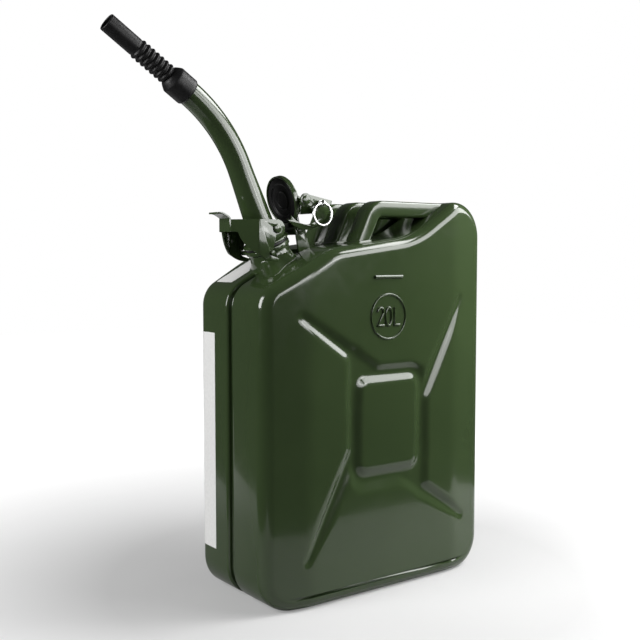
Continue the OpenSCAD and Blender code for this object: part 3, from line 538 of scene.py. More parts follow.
def shoulder_ring(grow, lift):
    line = []
    for t in turn_angles:
        lobe = lobe_reach * exp(-((degrees(t) - lobe_turn) / lobe_spread) ** 2)
        reach = 1 / hypot(cos(t) / foot_half_x, sin(t) / foot_half_y) + lobe + grow
        line.append(tuple(neck_foot + along_shoulder * reach * cos(t) + off_shoulder * lift
                          + Vector((0, reach * sin(t), 0))))
    return line


neck_profile = soften([
    (mouth_r, -0.034), (mouth_r, 0), (rim_r, 0), (rim_r, -0.005), (neck_r, -0.0062), (neck_r, neck_low),
], 0.0016)
rows = [neck_ring(p.x, p.y) for p in neck_profile]
top_ring, low_ring = neck_ring(neck_r, neck_low), shoulder_ring(-0.0012, 0.0016)
for t in np.linspace(0, 1, 13)[1:]:
    ease = t * t * (1.5 - 0.5 * t)
    share = t - neck_waist * (t - ease)
    rows.append([tuple(Vector(a).lerp(Vector(b), share)) for a, b in zip(top_ring, low_ring)])
rows += [shoulder_ring(grow, lift) for grow, lift in foot_fillet]
rows.append(rows[0])
neck_piece = skin("filler_neck", rows)


def turned(name, profile, place, steps=64):
    """Round piece: a line of [radius, height] points is drawn out of one vertex and spun about Z."""
    piece = add_piece(name, bpy.ops.mesh.primitive_plane_add, size=0.001)
    bpy.ops.object.mode_set(mode="EDIT")
    bpy.ops.mesh.select_mode(type="VERT")
    bpy.ops.mesh.select_all(action="SELECT")
    bpy.ops.mesh.merge(type="CENTER")
    at = (0, 0)
    for k, p in enumerate(profile):
        step = (p[0] - at[0], 0, p[1] - at[1])
        if k == 0:
            bpy.ops.transform.translate(value=step)
        else:
            bpy.ops.mesh.extrude_region_move(TRANSFORM_OT_translate={"value": step})
        at = p
    bpy.ops.mesh.select_all(action="SELECT")
    bpy.ops.mesh.spin(steps=steps, angle=2 * pi, center=(0, 0, 0), axis=(0, 0, 1))
    bpy.ops.mesh.select_all(action="SELECT")
    bpy.ops.mesh.remove_doubles(threshold=2e-6)
    face_outwards()
    set_place(piece, place)
    return piece


def across(side=1):
    """Place whose Z runs across the can, to one side."""
    return Matrix.Rotation(radians(-90 * side), 4, "X")


stud_profile = soften([(0, stud_in), (stud_r, stud_in), (stud_r, stud_out), (0, stud_out)], 0.0008, 4)
stud_place = neck_frame @ Matrix.Translation((stud_x, 0, stud_z))
for side in (1, -1):
    merge_pieces(neck_piece, turned("stud", stud_profile, stud_place @ across(side), 32))
give(neck_piece, enamel, "can", "green_paint", "neck", angle=45)


# Hinge bracket
# A U of bent sheet steel behind the neck, welded to the top of the tank and painted with it.
# Its two ears hold the hinge pin of the cap, a steel pin with a domed head at each end.
hinge_x, hinge_z = 0.038, 0.003
hinge = neck_frame @ Vector((hinge_x, 0, hinge_z))
ear_gap, ear_t, ear_r, ear_sink = 0.020, 0.0025, 0.0075, 0.0012
base_low, base_high = -0.001, 0.0026
pin_r, head_r, head_t = 0.003, 0.0055, 0.002
loose_fit, running_fit, close_fit = 0.0001, 0.00005, 0.00002
upright = Matrix.Rotation(radians(90), 4, "X")


def merge_flats(piece, angle):
    """Turns the faces outwards and merges neighbours that lie flat to each other."""
    only(piece)
    edit_all()
    bpy.ops.mesh.normals_make_consistent(inside=False)
    bpy.ops.mesh.dissolve_limited(angle_limit=radians(angle))
    bpy.ops.object.mode_set(mode="OBJECT")


def break_edges(piece, width):
    """Merges flat neighbours, then rounds every sharp edge a little."""
    merge_flats(piece, 0.5)
    add_modifier(piece, "BEVEL", width=width, segments=2, limit_method="ANGLE", angle_limit=radians(40))


def flat_blank(name, outline, holes):
    """Flat sheet whose outline and holes are drawn as rings and filled. It is left in edit mode."""
    places = [(*p, 0) for p in outline]
    piece = add_piece(name, bpy.ops.mesh.primitive_circle_add, places,
                      vertices=len(places), fill_type="NOTHING")
    bpy.ops.object.mode_set(mode="EDIT")
    for hx, hy, r in holes:
        bpy.ops.mesh.primitive_circle_add(vertices=28, radius=r, location=(hx, hy, 0), fill_type="NOTHING")
    bpy.ops.mesh.select_all(action="SELECT")
    bpy.ops.mesh.fill(use_beauty=True)
    return piece


def cut_plate(name, outline, holes, thickness, place, edge):
    """Flat plate: a blank is given its thickness and broken edges."""
    piece = flat_blank(name, outline, holes)
    face_outwards()
    add_modifier(piece, "SOLIDIFY", thickness=thickness, offset=0)
    break_edges(piece, edge)
    set_place(piece, place)
    return piece


def top_height(px):
    """Height of the top of the tank at a place between the crest and the hump, and down the shoulder."""
    line = [p for p in tank_outline(0.0) if p.y > 0.3]
    line.sort(key=lambda p: p.x)
    return float(np.interp(px, [p.x for p in line], [p.y for p in line]))


ear_outline = arc(hinge.x, hinge.z, ear_r, 0, 180, 16)
ear_outline += [(px, top_height(px) - ear_sink) for px in hinge.x + np.linspace(-0.35, 1.9, 10) * ear_r]
ears = []
for side in (-1, 1):
    place = Matrix.Translation((0, side * (ear_gap + ear_t / 2), 0)) @ upright
    ears.append(cut_plate("ear", ear_outline, [(hinge.x, hinge.z, pin_r + loose_fit)], ear_t, place, 0.0005))
base_section = [(-ear_gap, base_low), (-ear_gap, base_high), (ear_gap, base_high), (ear_gap, base_low)]
base_x = np.linspace(hinge.x, hinge.x + 1.75 * ear_r, 10)
rows = [[(px, w, top_height(px) + h) for w, h in base_section] for px in base_x]
bracket_base = skin("bracket_base", rows, capped=True)
break_edges(bracket_base, 0.0005)
bracket = ears[0]
merge_pieces(bracket, ears[1], bracket_base)
bracket.name = "cap_bracket"
give(bracket, enamel, "can", "green_paint", "hinge_bracket")


def domed_head(end):
    """Line of [radius, height] points over a pin's domed head, from its top to the shank."""
    dome = arc(0, end + 0.35 * head_t, head_r, 80, 0, 4, 0.65 * head_t)
    return [(0, end + head_t)] + dome + [(head_r, end), (pin_r, end)]


def headed_pin(name, half, place):
    """Pin with a domed head at each end, lying across the can."""
    head = domed_head(half)
    return turned(name, head + [(pin_r, 0)] + [(r, -h) for r, h in reversed(head)], place @ across(), 40)


cap_hinge_pin = headed_pin("cap_hinge_pin", ear_gap + ear_t, Matrix.Translation(hinge))
give(cap_hinge_pin, enamel, "can", "bright_steel", "hinge_pin")

# Bright zinc plate: cloudy colour and gloss, and a fine grain.
zinc = new_finish(
    "zinc_plate",
    {"Base Color": (90, 3, (0.50, 0.51, 0.50), (0.66, 0.67, 0.66)), "Roughness": (300, 4, 0.16, 0.34)},
    [(1400, 3, 0.08, 0.0002)],
    Metallic=1.0)


def plate(node):
    """Gives the zinc finish to a solid that is shown as the frame has it."""
    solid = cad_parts[node]
    solid.data.materials.clear()
    solid.data.materials.append(zinc)


plate("breather_tube")


# Cap
# A shallow pressed steel lid with a rolled skirt, a moulded rubber disc in it and a strap welded across it.
# It stands open behind the neck, with its hinge knuckle in the bracket.
cap_open = radians(98)
hinge_shift = Matrix.Translation((hinge_x, 0, hinge_z))
cap_frame = neck_frame @ hinge_shift @ Matrix.Rotation(cap_open, 4, "Y") @ hinge_shift.inverted()
cap_r, cap_top, cap_wall = 0.0295, 0.006, 0.002
lid_under, skirt_low = 0.0032, -0.001
lid_profile = soften([
    (0, lid_under), (cap_r - cap_wall, lid_under), (cap_r - cap_wall, skirt_low), (cap_r, skirt_low),
    (cap_r, cap_top - 0.0005), (cap_r - 0.004, cap_top), (0, cap_top)], 0.0011)
cap_lid = turned("cap_lid", lid_profile, cap_frame, 80)
give(cap_lid, enamel, "cap", "green_paint", "cap", angle=50)

# Moulded rubber: near black, with a soft unevenness, a fine matt grain and paler rubbed patches.
rubber = new_finish(
    "black_rubber",
    {"Base Color": (45, 4, (0.0050, 0.0050, 0.0053), (0.0085, 0.0084, 0.0088)),
     "Roughness": (120, 4, 0.36, 0.52)},
    [(240, 3, 0.10, 0.0004), (2600, 2, 0.14, 0.00015)],
    Specular_IOR_Level=0.26)
disc_r, disc_top, disc_face, disc_rim, bead_face = 0.0270, 0.0031, 0.0014, -0.0002, 0.0006
disc_profile = soften([
    (0, disc_top), (disc_r, disc_top), (disc_r, 0.0004), (0.0256, disc_rim), (0.0206, disc_rim),
    (0.0192, disc_face), (0.0130, disc_face), (0.0122, bead_face), (0.0104, bead_face), (0.0096, disc_face),
    (0, disc_face)], 0.0006, 4)
cap_seal = turned("cap_seal", disc_profile, cap_frame, 72)
give(cap_seal, rubber, "cap", "black_rubber", "cap_gasket", angle=50)

strap_half, strap_end = 0.016, -cap_r * 0.75
strap_low, strap_top = cap_top + 0.0001, cap_top + 0.0025
knuckle_r = 0.0055
strap_line = [(strap_end, strap_low), (cap_r, strap_low)]
strap_line += arc(hinge_x, hinge_z, knuckle_r, 180, 450, 26)
strap_line += [(cap_r, strap_top), (strap_end, strap_top)]
strap_holes = [(hinge_x, hinge_z, pin_r + running_fit)]
strap = cut_plate("lid_strap", strap_line, strap_holes, 2 * strap_half, cap_frame @ upright, 0.0006)
lug_x, lug_z, lug_r, lug_t = 0.0038, 0.0125, 0.006, 0.0025
lug_line = arc(lug_x, lug_z, lug_r, 0, 180, 18)
lug_line += [(lug_x - lug_r, cap_top + 0.001), (lug_x + lug_r, cap_top + 0.001)]
for side in (-1, 1):
    place = cap_frame @ Matrix.Translation((0, side * (strap_half - lug_t / 2), 0)) @ upright
    merge_pieces(strap, cut_plate("lug", lug_line, [(lug_x, lug_z, pin_r + close_fit)], lug_t, place, 0.0005))
give(strap, enamel, "cap", "green_paint", "cap_strap")

stop_low, stop_r, stop_head_r, stop_h = -0.0004, 0.003, 0.0045, 0.006
stop_line = soften([
    (0, stop_low), (stop_r, stop_low), (stop_r, 0.0015), (stop_head_r, 0.002), (stop_head_r, 0.0045),
    (stop_r, stop_h), (0, stop_h)], 0.0008, 4)
cap_stop = turned("cap_button", stop_line, cap_frame @ Matrix.Translation((-cap_r * 0.42, 0, strap_top)), 40)
give(cap_stop, enamel, "cap", "green_paint", "cap_stop", angle=50)
cap_pivot = cap_frame @ Matrix.Translation((lug_x, 0, lug_z))
lever_gap, lever_t, side_play = 0.0319, 0.002, 0.0003
plate_end = lever_gap + lever_t
head_seat = plate_end + side_play
cap_pin = headed_pin("cap_lever_rivet", head_seat, cap_pivot)
give(cap_pin, enamel, "cap", "bright_steel", "cap_lever_pin")


# Cap lever
# A fork folded from one flat blank of sheet steel, with a hook on each side for the neck's studs.
# It is parked on the open cap and swings on the pin through the strap's lugs.
def fold_line(plan, fold_r):
    """Place on a folded sheet for a distance along it; plan is half of its line seen from above."""
    plan = [Vector(p) for p in plan]
    lengths = [(b - a).length for a, b in zip(plan, plan[1:])]
    starts = np.concatenate([[0], np.cumsum(lengths)])
    folds = []
    for k in range(1, len(plan) - 1):
        u, v = (plan[k] - plan[k - 1]).normalized(), (plan[k + 1] - plan[k]).normalized()
        turn = atan2(u.x * v.y - u.y * v.x, u.dot(v))
        folds.append((starts[k], fold_r * tan(abs(turn) / 2), turn, k))

    def place(s):
        side, s = copysign(1, s), abs(s)
        k = min(max(int(np.searchsorted(starts, s, side="right")) - 1, 0), len(lengths) - 1)
        p = plan[k].lerp(plan[k + 1], (s - starts[k]) / lengths[k])
        for middle, trim, turn, c in folds:
            if abs(s - middle) < trim:
                u = (plan[c] - plan[c - 1]).normalized()
                a = turn * (s - middle + trim) / (2 * trim)
                way = copysign(1, turn)
                centre = plan[c] - u * trim + way * fold_r * left_of(u)
                p = centre - way * fold_r * left_of(Matrix.Rotation(a, 2) @ u)
        return Vector((p.x, side * p.y))

    return place, [(middle, trim) for middle, trim, turn, c in folds]


def folded_fork(name, half_outline, hole, plan, fold_r, place, lip=None):
    """Fork from a flat blank of [distance from its middle, height], folded and given its thickness."""
    outline = half_outline + [(-s, h) for s, h in reversed(half_outline)]
    s, h, r = hole
    piece = flat_blank(name, outline, [(s, h, r), (-s, h, r)])
    on_plan, folds = fold_line(plan, fold_r)
    bends = [middle + trim * k / 4 for middle, trim in folds for k in range(-4, 5)]
    cuts = [(side * bend, 0) for bend in bends for side in (1, -1)]
    if lip:
        lip_start, lip_place, lip_lines = lip
        cuts += [(h, 1) for h in lip_lines]
    for at, axis in cuts:
        bpy.ops.mesh.select_all(action="SELECT")
        normal = (0, 1, 0) if axis else (1, 0, 0)
        bpy.ops.mesh.bisect(plane_co=tuple(at * n for n in normal), plane_no=normal)
    bpy.ops.object.mode_set(mode="OBJECT")
    for v in piece.data.vertices:
        p = on_plan(v.co.x)
        out, up = 0, v.co.y
        if lip and up > lip_start:
            out, up = lip_place(up - lip_start)
        v.co = (p.x - out, p.y, up)
    merge_flats(piece, 1)
    add_modifier(piece, "SOLIDIFY", thickness=lever_t, offset=0, use_even_offset=True)
    break_edges(piece, 0.00045)
    set_place(piece, place)
    return piece


fork_y = lever_gap + lever_t / 2
arm_end, arm_half, eye_r = 0.039, 0.007, 0.008
hook_in, hook_out, hook_tip = 0.0288, 0.0355, 231
hook_mid, hook_half = (hook_in + hook_out) / 2, (hook_out - hook_in) / 2
tip_x, tip_z = hook_mid * cos(radians(hook_tip)), hook_mid * sin(radians(hook_tip))
hook_profile = [(arm_end, arm_half), (0.002, arm_half)]
hook_profile += arc(0, 0, eye_r, 75, 299, 26)
hook_profile.append((0.0085, -0.0072))
hook_profile += soften([(0.0112, -0.0085), (0.0205, -0.0178), (0.0215, -0.0205)], 0.003, 4)
hook_profile += arc(0, 0, hook_in, 315, 234, 20)
hook_profile += arc(tip_x, tip_z, hook_half, 51, -129, 10)
hook_profile += arc(0, 0, hook_out, 233, 347, 28) + [(arm_end, -arm_half)]
half_blank = [(fork_y + arm_end - px, pz) for px, pz in hook_profile]
lever_park = radians(65)
cap_lever_frame = cap_pivot @ Matrix.Rotation(-lever_park, 4, "Y")
cap_fork = folded_fork(
    "cap_fork", half_blank, (fork_y + arm_end, 0, pin_r + running_fit),
    [(arm_end, 0), (arm_end, fork_y), (-0.04, fork_y)], 0.0045, cap_lever_frame)
give(cap_fork, enamel, "cap_lever", "green_paint", "cap_lever")


# Safety pin and pull ring
# A headed, zinc-plated steel pin is pushed through the near plate of the cap lever and locks it.
# A two-turn split ring of flat spring wire hangs in the eye at the pin's end.
safety_frame = cap_lever_frame @ Matrix.Translation((0.020, 0, 0)) @ across(-1)
shank_r, point_r, collar_r, stem_r = 0.0022, 0.0016, 0.0038, 0.0024
collar_end = head_seat + 0.002
eye_y = collar_end + 0.0038
stem_end, pin_start = eye_y - 0.0034, lever_gap - 0.010
lever_lean = cap_open - lever_park - neck_tilt
shank_profile = soften([
    (0, pin_start), (point_r, pin_start), (shank_r, pin_start + 0.002), (shank_r, head_seat),
    (collar_r, head_seat), (collar_r, collar_end), (stem_r, collar_end + 0.0003), (stem_r, stem_end),
    (0, stem_end)], 0.0004, 3)
shank = turned("safety_pin_shank", shank_profile, safety_frame, 32)
eye_turn = Matrix.Rotation(-lever_lean, 4, "Z") @ Matrix.Rotation(radians(90), 4, "Y")
loop_line = arc(0.0031, 0, 0.0009, 0, 360, 16, 0.0016)
eye_loop = turned("pin_eye", loop_line, safety_frame @ Matrix.Translation((0, 0, eye_y)) @ eye_turn, 36)
merge_pieces(shank, eye_loop)
shank.name = "safety_pin_eye"
give(shank, zinc, "safety_pin", "bright_steel", "safety_pin", angle=45)

ring_r, ring_start, turn_gap = 0.0132, 0.6, 0.00148
crossing = 0.7
ring_centre = safety_frame @ Vector((0, 0, eye_y)) - Vector((0, 0, ring_r))
wire = rounded_rect(0.0026, 0.0014, 0.0006, 4)
rows = []
for t in np.linspace(0, 4 * pi, 145):
    over = np.clip((t - 2 * pi) / crossing + 0.5, 0, 1)
    shift = turn_gap * (over * over * (3 - 2 * over) - 0.5)
    out = Vector((cos(t + ring_start), 0, sin(t + ring_start)))
    rows.append([tuple(ring_centre + out * (ring_r + w) + Vector((0, shift + h, 0))) for w, h in wire])
split_ring = skin("split_ring", rows, capped=True)
give(split_ring, zinc, "pull_ring", "bright_steel", "pull_ring", angle=50)


# Spout head
# A turned steel collar that sits on the neck's rim, with a boss on each side for the lever's rivets.
# A flat rubber washer under it seals the rim, and a punched strainer plate closes its mouth.
flange_z, flange_r, head_bore = 0.0031, 0.028, 0.0155
socket_z, socket_top, socket_r, socket_out = 0.0056, 0.0246, 0.0171, 0.02002
head_profile = soften([
    (head_bore, flange_z), (flange_r, flange_z), (flange_r, socket_z), (0.0222, 0.0094), (socket_out, 0.0146),
    (socket_out, socket_top), (socket_r, socket_top), (socket_r, socket_z), (head_bore, socket_z),
    (head_bore, flange_z)], 0.0011)
spout_collar = turned("spout_collar", head_profile, neck_frame, 80)
pivot_x, pivot_z = 0.0005, 0.020
spout_pivot = neck_frame @ Matrix.Translation((pivot_x, 0, pivot_z))
boss_r, boss_in, boss_out = 0.0065, 0.0185, 0.0316
boss_profile = soften([
    (0, boss_in), (0.0072, boss_in), (boss_r, 0.0235), (boss_r, boss_out), (0, boss_out)], 0.0008, 4)
for side in (1, -1):
    merge_pieces(spout_collar, turned("boss", boss_profile, spout_pivot @ across(side), 40))
give(spout_collar, enamel, "spout", "green_paint", "spout_head", angle=45)
washer_in, washer_out, washer_low = 0.020, 0.0265, 0.0001
washer_profile = soften([
    (washer_in, washer_low), (washer_out, washer_low), (washer_out, flange_z), (washer_in, flange_z),
    (washer_in, washer_low)], 0.0006, 4)
spout_washer = turned("spout_washer", washer_profile, neck_frame, 72)
give(spout_washer, rubber, "spout", "black_rubber", "spout_gasket", angle=50)
plate("filter_screen")


# Spout tube
# Steel tube, tapered above the collar and bent in one long sweep, painted like the tank.
# Its lower end is brazed into the collar, and its upper end is pushed into the nozzle.
tube_r, tube_end_r, tube_wall = 0.017, 0.0144, 0.0015
bend_start, sweep_r, sweep_a = 0.097, 0.179, radians(33.5)
grip_r, grip_start, grip_end = tube_end_r - 0.0005, 0.0002, 0.0215
centre_line = [(Vector((0, 0, socket_z)), 0.0, tube_r)]
for t in np.linspace(0, 1, 12):
    taper = 0.5 * t + 0.5 * t * t * (3 - 2 * t)
    height = socket_top + (bend_start - socket_top) * t
    centre_line.append((Vector((0, 0, height)), 0.0, tube_r + (tube_end_r - tube_r) * taper))
for a in np.linspace(0, sweep_a, 40)[1:]:
    bent = Vector((-sweep_r + sweep_r * cos(a), 0, bend_start + sweep_r * sin(a)))
    centre_line.append((bent, a, tube_end_r))
end, way = centre_line[-1][0], Vector((-sin(sweep_a), 0, cos(sweep_a)))
centre_line += [(end + way * d, sweep_a, grip_r) for d in (grip_start, grip_end)]


def tube_ring(p, a, r):
    side = Vector((cos(a), 0, sin(a)))
    return [tuple(neck_frame @ (p + side * r * cos(t) + Vector((0, r * sin(t), 0))))
            for t in np.linspace(0, 2 * pi, 64, endpoint=False)]


rows = [tube_ring(p, a, r) for p, a, r in centre_line]
rows += [tube_ring(p, a, r - tube_wall) for p, a, r in reversed(centre_line)]
rows.append(rows[0])
pouring_tube = skin("pouring_tube", rows)
give(pouring_tube, enamel, "spout", "green_paint", "spout_tube", angle=60)
braze_profile = arc(socket_r, socket_top - 0.0001, 0.0014, 0, 360, 12, 0.0012)
braze = turned("braze_ring", braze_profile, neck_frame)
give(braze, enamel, "spout", "green_paint", angle=60)


# Nozzle
# One black rubber moulding: a chamfered collar, seven bellows ribs that let it flex, and a smooth tip.
# The collar is stretched over the end of the spout tube and grips it.
sweep_axis = neck_frame @ Matrix.Translation((-sweep_r, 0, bend_start))
nozzle_frame = sweep_axis @ Matrix.Rotation(-sweep_a, 4, "Y") @ Matrix.Translation((sweep_r, 0, 0))
collar_r, collar_l, seat = 0.0163, 0.031, 0.00002
stretch_r, stretch_l = grip_r + 0.00002, 0.022
rib_r, rib_root, rib_pitch, rib_count = 0.0118, 0.0099, 0.0064, 7
tip_r, tip_l, bore_r = 0.0103, 0.041, 0.0078
ribs_end = collar_l + rib_count * rib_pitch
tip_end = ribs_end + tip_l
outside = soften([
    (stretch_r, seat), (collar_r - 0.0016, seat), (collar_r, 0.0018), (collar_r, collar_l - 0.008),
    (collar_r - 0.0038, collar_l - 0.0022), (rib_root, collar_l)], 0.0014)
for k in range(rib_count):
    for t in np.linspace(0, 1, 11)[:-1]:
        swell = 0.5 - 0.5 * cos(2 * pi * t)
        outside.append(Vector((rib_root + (rib_r - rib_root) * swell ** 0.8, collar_l + (k + t) * rib_pitch)))
outside += soften([
    (rib_root, ribs_end), (tip_r, ribs_end + 0.0016), (tip_r, tip_end), (bore_r, tip_end),
    (bore_r, stretch_l), (stretch_r, stretch_l), (stretch_r, seat)], 0.0012)
pouring_nozzle = turned("pouring_nozzle", outside, nozzle_frame, 72)
give(pouring_nozzle, rubber, "spout", "black_rubber", "nozzle", angle=50)


# Spout lever
# A fork folded from one sheet-steel blank, with cam hooks that pull the spout down on the neck's studs.
# A lip at its front is bent up and levelled as a thumb tab. It turns on two rivets in the spout's bosses.
lever_frame = spout_pivot @ Matrix.Rotation(neck_tilt, 4, "Y")
lever_eye = 0.0105
bridge_x, bridge_mid, bridge_half, bridge_w = -0.0505, 0.003, 0.007, 0.012
bridge_top, bridge_low = bridge_mid + bridge_half, bridge_mid - bridge_half
slant_x, fold_r = -0.025, 0.005
stud_at = Matrix.Rotation(neck_tilt, 2) @ Vector((stud_x - pivot_x, stud_z - pivot_z))
stud_a = degrees(atan2(stud_at.y, stud_at.x)) % 360
lift_dir = Vector((-sin(neck_tilt), cos(neck_tilt)))
seat_rise, lever_lift = 0.005, 34
slot_half, hook_reach, hook_w = 0.0031, 16, 0.0045
belly, belly_from, belly_run = 0.005, 234, 48


def cam_r(a):
    """Radius of the cam slot's middle at an angle from the stud."""
    return (stud_at - lift_dir * seat_rise * a / lever_lift).length


def polar(r, a):
    """Point at a radius and an angle from the lever's pivot."""
    t = radians(a)
    return tuple(r * Vector((cos(t), sin(t))))


slot_out = cam_r(hook_reach) + slot_half
cam_out = slot_out + hook_w
side_line = [(bridge_x, bridge_top), (-0.030, 0.0103)]
side_line += arc(0, 0, lever_eye, 92, -95, 34)
side_line += [polar(r, stud_a + 1) for r in (0.0135, cam_r(0) - slot_half)]
side_line += arc(stud_at.x, stud_at.y, slot_half, stud_a + 180, stud_a + 360, 14)
side_line += [polar(cam_r(a) + slot_half, stud_a + a) for a in np.linspace(2, hook_reach - 1, 6)]
for out, turn in ((0.0012, 0.6), (0.0024, 0.7), (0.0036, 0.2)):
    side_line.append(polar(slot_out + out, stud_a + hook_reach + turn))
side_line += arc(0, 0, cam_out, stud_a + hook_reach - 1.5, 236, 16)
side_line += [polar(cam_out + belly * (belly_from - a) / belly_run, a) for a in range(230, 185, -4)]
side_line += [(-0.0475, bridge_low), (bridge_x, bridge_low)]
slant_l = hypot(slant_x - bridge_x, fork_y - bridge_w)


def along_fork(px):
    """Distance along the flat blank, from its middle, of a place on the side of the folded lever."""
    if px > slant_x:
        return bridge_w + slant_l + px - slant_x
    return bridge_w + slant_l * (px - bridge_x) / (slant_x - bridge_x)


tab_half, tab_start, tab_l, tab_corner = 0.0115, bridge_top + 0.0004, 0.0185, 0.003
tab_line = arc(tab_half - tab_corner, tab_start + tab_l - tab_corner, tab_corner, 90, 0, 6)
tab_line.append((tab_half, tab_start))
bend_cuts = (0.0, 0.0009, 0.0018, 0.0027, 0.0035, 0.0095, 0.0110, 0.0125, 0.0140, 0.0148)


def tab_place(h):
    """Way out and height of the thumb tab at a distance along it from the bridge's top."""
    first, second = radians(62), radians(30)
    r1, r2, flat_l = 0.0032, 0.010, 0.006
    a1 = min(h / r1, first)
    rest = max(h - r1 * first, 0)
    flat = min(rest, flat_l)
    out = r1 * (1 - cos(a1)) + flat * sin(first)
    up = tab_start + r1 * sin(a1) + flat * cos(first)
    rest = max(rest - flat_l, 0)
    a2 = first + min(rest / r2, second)
    tail = max(rest - r2 * second, 0)
    out += r2 * (cos(first) - cos(a2)) + tail * sin(a2)
    up += r2 * (sin(a2) - sin(first)) + tail * cos(a2)
    return out, up


half_blank = tab_line + [(along_fork(px), pz) for px, pz in side_line]
spout_fork = folded_fork(
    "spout_fork", half_blank, (along_fork(0.0), 0, pin_r + running_fit),
    [(bridge_x, 0), (bridge_x, bridge_w), (slant_x, fork_y), (0.02, fork_y)], fold_r, lever_frame,
    (tab_start, tab_place, [tab_start + d for d in bend_cuts]))
give(spout_fork, enamel, "spout_lever", "green_paint", "spout_lever")

rivet_in = 0.0212
rivet_line = domed_head(head_seat) + [(pin_r, rivet_in), (0, rivet_in)]
rivets = [turned("rivet", rivet_line, spout_pivot @ across(side), 40) for side in (1, -1)]
merge_pieces(*rivets)
rivets[0].name = "spout_rivets"
give(rivets[0], enamel, "spout", "bright_steel", "lever_rivets")


# Labels
# Two plain labels of coated white paper, one on the narrow front side and one on the shoulder.
# Both are stuck flat on the far half of the can, and the first is wrapped a little round its edge.
paper = new_finish(
    "label_paper",
    {"Base Color": (260, 4, (0.78, 0.78, 0.77), (0.84, 0.84, 0.83)), "Roughness": (80, 3, 0.32, 0.46)},
    [(900, 3, 0.06, 0.0001)])
label_t, glue_t = 0.0002, 0.00012
label_low, label_high, label_near, label_wrap = 0.055, 0.319, 0.0335, 0.004
side_x = front_x - glue_t
wrap = [(side_x + inset, drawn_in(front_x + inset, y)) for inset, y in section]
wrap = [(px, py) for px, py in wrap if py > label_near and px < side_x + label_wrap]
wrap = [(side_x, label_near + (wrap[0][1] - label_near) * k / 4) for k in range(4)] + wrap
rows = [[(px, py, label_low), (px, py, label_high)] for px, py in wrap]
side_label = skin("side_label", rows, closed_ring=False)
add_modifier(side_label, "SOLIDIFY", thickness=label_t, offset=0)
give(side_label, paper, "can", "green_paint")
label_place = Matrix.Translation(on_shoulder(0.045, 0.0410) + off_shoulder * label_t / 2)
shoulder_label = cut_plate(
    "shoulder_label", rounded_rect(0.062, 0.036, 0.0015, 4), [], label_t,
    label_place @ Matrix.Rotation(-shoulder_slope, 4, "Y"), 0.00005)
give(shoulder_label, paper, "can", "green_paint")


# Studio
# A wide pale floor that the camera sees, and a smaller card just under it that the paint's gloss mirrors.
# Large soft lights stand overhead and at the sides, and the camera stands at the photograph's angle.
def floor_plane(name, size, centre, glow_from, glow_near, glow_far):
    """Flat pale plane whose glow grows away from the can, so that its far side fades into white."""
    plane = add_piece(name, bpy.ops.mesh.primitive_plane_add, size=1)
    plane.scale = (*size, 1)
    plane.location = centre
    bpy.ops.object.transform_apply(location=True, rotation=True, scale=True)
    finish = new_finish(
        name, {"Base Color": (3, 2, (0.40, 0.40, 0.40), (0.42, 0.42, 0.42))},
        Roughness=0.7, Specular_IOR_Level=0.2, Emission_Color=(1, 1, 1, 1))
    tree = finish.node_tree
    reach = add_node(tree, "ShaderNodeVectorMath", {"operation": "LENGTH"})
    tree.links.new(tree.nodes["Texture Coordinate"].outputs["Object"], reach.inputs[0])
    glow = add_node(tree, "ShaderNodeMapRange",
                    From_Min=glow_from, From_Max=0.95, To_Min=glow_near, To_Max=glow_far)
    tree.links.new(reach.outputs["Value"], glow.inputs["Value"])
    tree.links.new(glow.outputs["Result"], tree.nodes["Principled BSDF"].inputs["Emission Strength"])
    plane.data.materials.append(finish)
    return plane


floor = floor_plane("studio_floor", (8, 8), (0, 0, 0), 0.30, 0.24, 1.0)
floor.visible_diffuse = floor.visible_glossy = floor.visible_shadow = False
card = floor_plane("floor_card", (1.08, 1.80), (0.04, 0.522, -0.0005), 0.45, 0.02, 0.6)
card.visible_camera = False


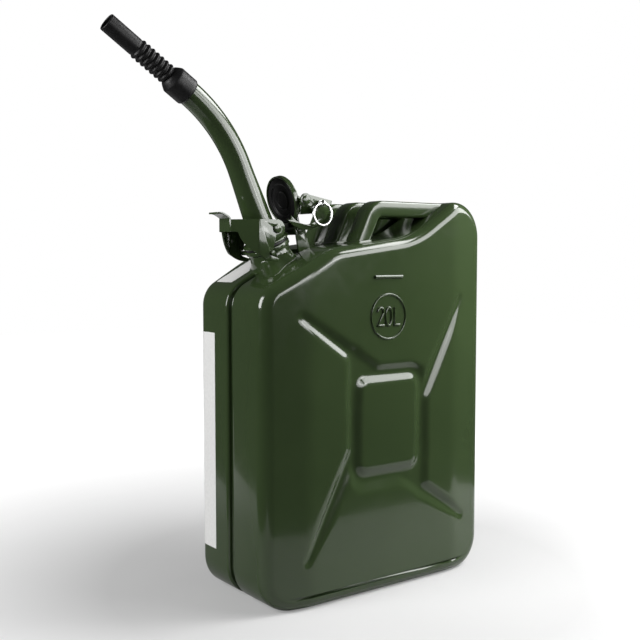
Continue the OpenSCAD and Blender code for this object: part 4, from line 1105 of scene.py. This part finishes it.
def softbox(name, at, aim, width, height, power, fills=True, mirrors=True):
    """Large area light that looks at a point. It lights the paint, shows in the gloss, or both."""
    lamp = add_piece(name, bpy.ops.object.light_add, type="AREA", location=at)
    lamp.data.shape = "RECTANGLE"
    lamp.data.size, lamp.data.size_y = width, height
    lamp.data.energy = power
    lamp.rotation_euler = (Vector(aim) - Vector(at)).to_track_quat("-Z", "Y").to_euler()
    lamp.visible_camera = False
    lamp.visible_diffuse, lamp.visible_glossy = fills, mirrors


softbox("right_light", (0.755, -0.665, 0.82), (0.02, -0.05, 0.48), 1.05, 0.52, 13.4)
softbox("near_light", (0.50, -0.32, 0.52), (0.08, -0.08, 0.30), 0.30, 0.30, 2.6, mirrors=False)
softbox("top_light", (0.80, -0.34, 1.36), (0, -0.05, 0.45), 0.85, 0.40, 12)
softbox("front_light", (0.14, -1.46, 0.82), (0.05, -0.08, 0.33), 0.42, 0.36, 2.4, fills=False)
softbox("tube_light", (0.28, -1.40, 0.60), (-0.16, 0, 0.53), 1.04, 0.38, 6.8, fills=False)
softbox("left_light", (-1.35, 0.15, 0.78), (-0.1, 0, 0.30), 0.50, 0.80, 16)

# The air is dim grey for the object and white for the camera.
world = bpy.data.worlds.new("studio_air")
bpy.context.scene.world = world
world.use_nodes = True
tree = world.node_tree
sky = tree.nodes["Background"]
sky.inputs["Color"].default_value = (0.07, 0.07, 0.07, 1)
backdrop = add_node(tree, "ShaderNodeBackground", Color=(1, 1, 1, 1), Strength=1.0)
seen = add_node(tree, "ShaderNodeLightPath")
choose = add_node(tree, "ShaderNodeMixShader")
tree.links.new(seen.outputs["Is Camera Ray"], choose.inputs["Fac"])
tree.links.new(sky.outputs["Background"], choose.inputs[1])
tree.links.new(backdrop.outputs["Background"], choose.inputs[2])
tree.links.new(choose.outputs["Shader"], tree.nodes["World Output"].inputs["Surface"])
bpy.context.scene.view_settings.view_transform = "Standard"

azimuth, elevation = radians(-36.59), radians(3.77)
focal_px, picture_px, sensor = 940.46, 640, 36
camera = add_piece("photo_camera", bpy.ops.object.camera_add, location=(-0.74188, -0.94539, 0.40853))
camera.rotation_euler = (pi / 2 - elevation, 0, azimuth)
camera.data.sensor_width = sensor
camera.data.lens = focal_px / picture_px * sensor
bpy.context.scene.camera = camera
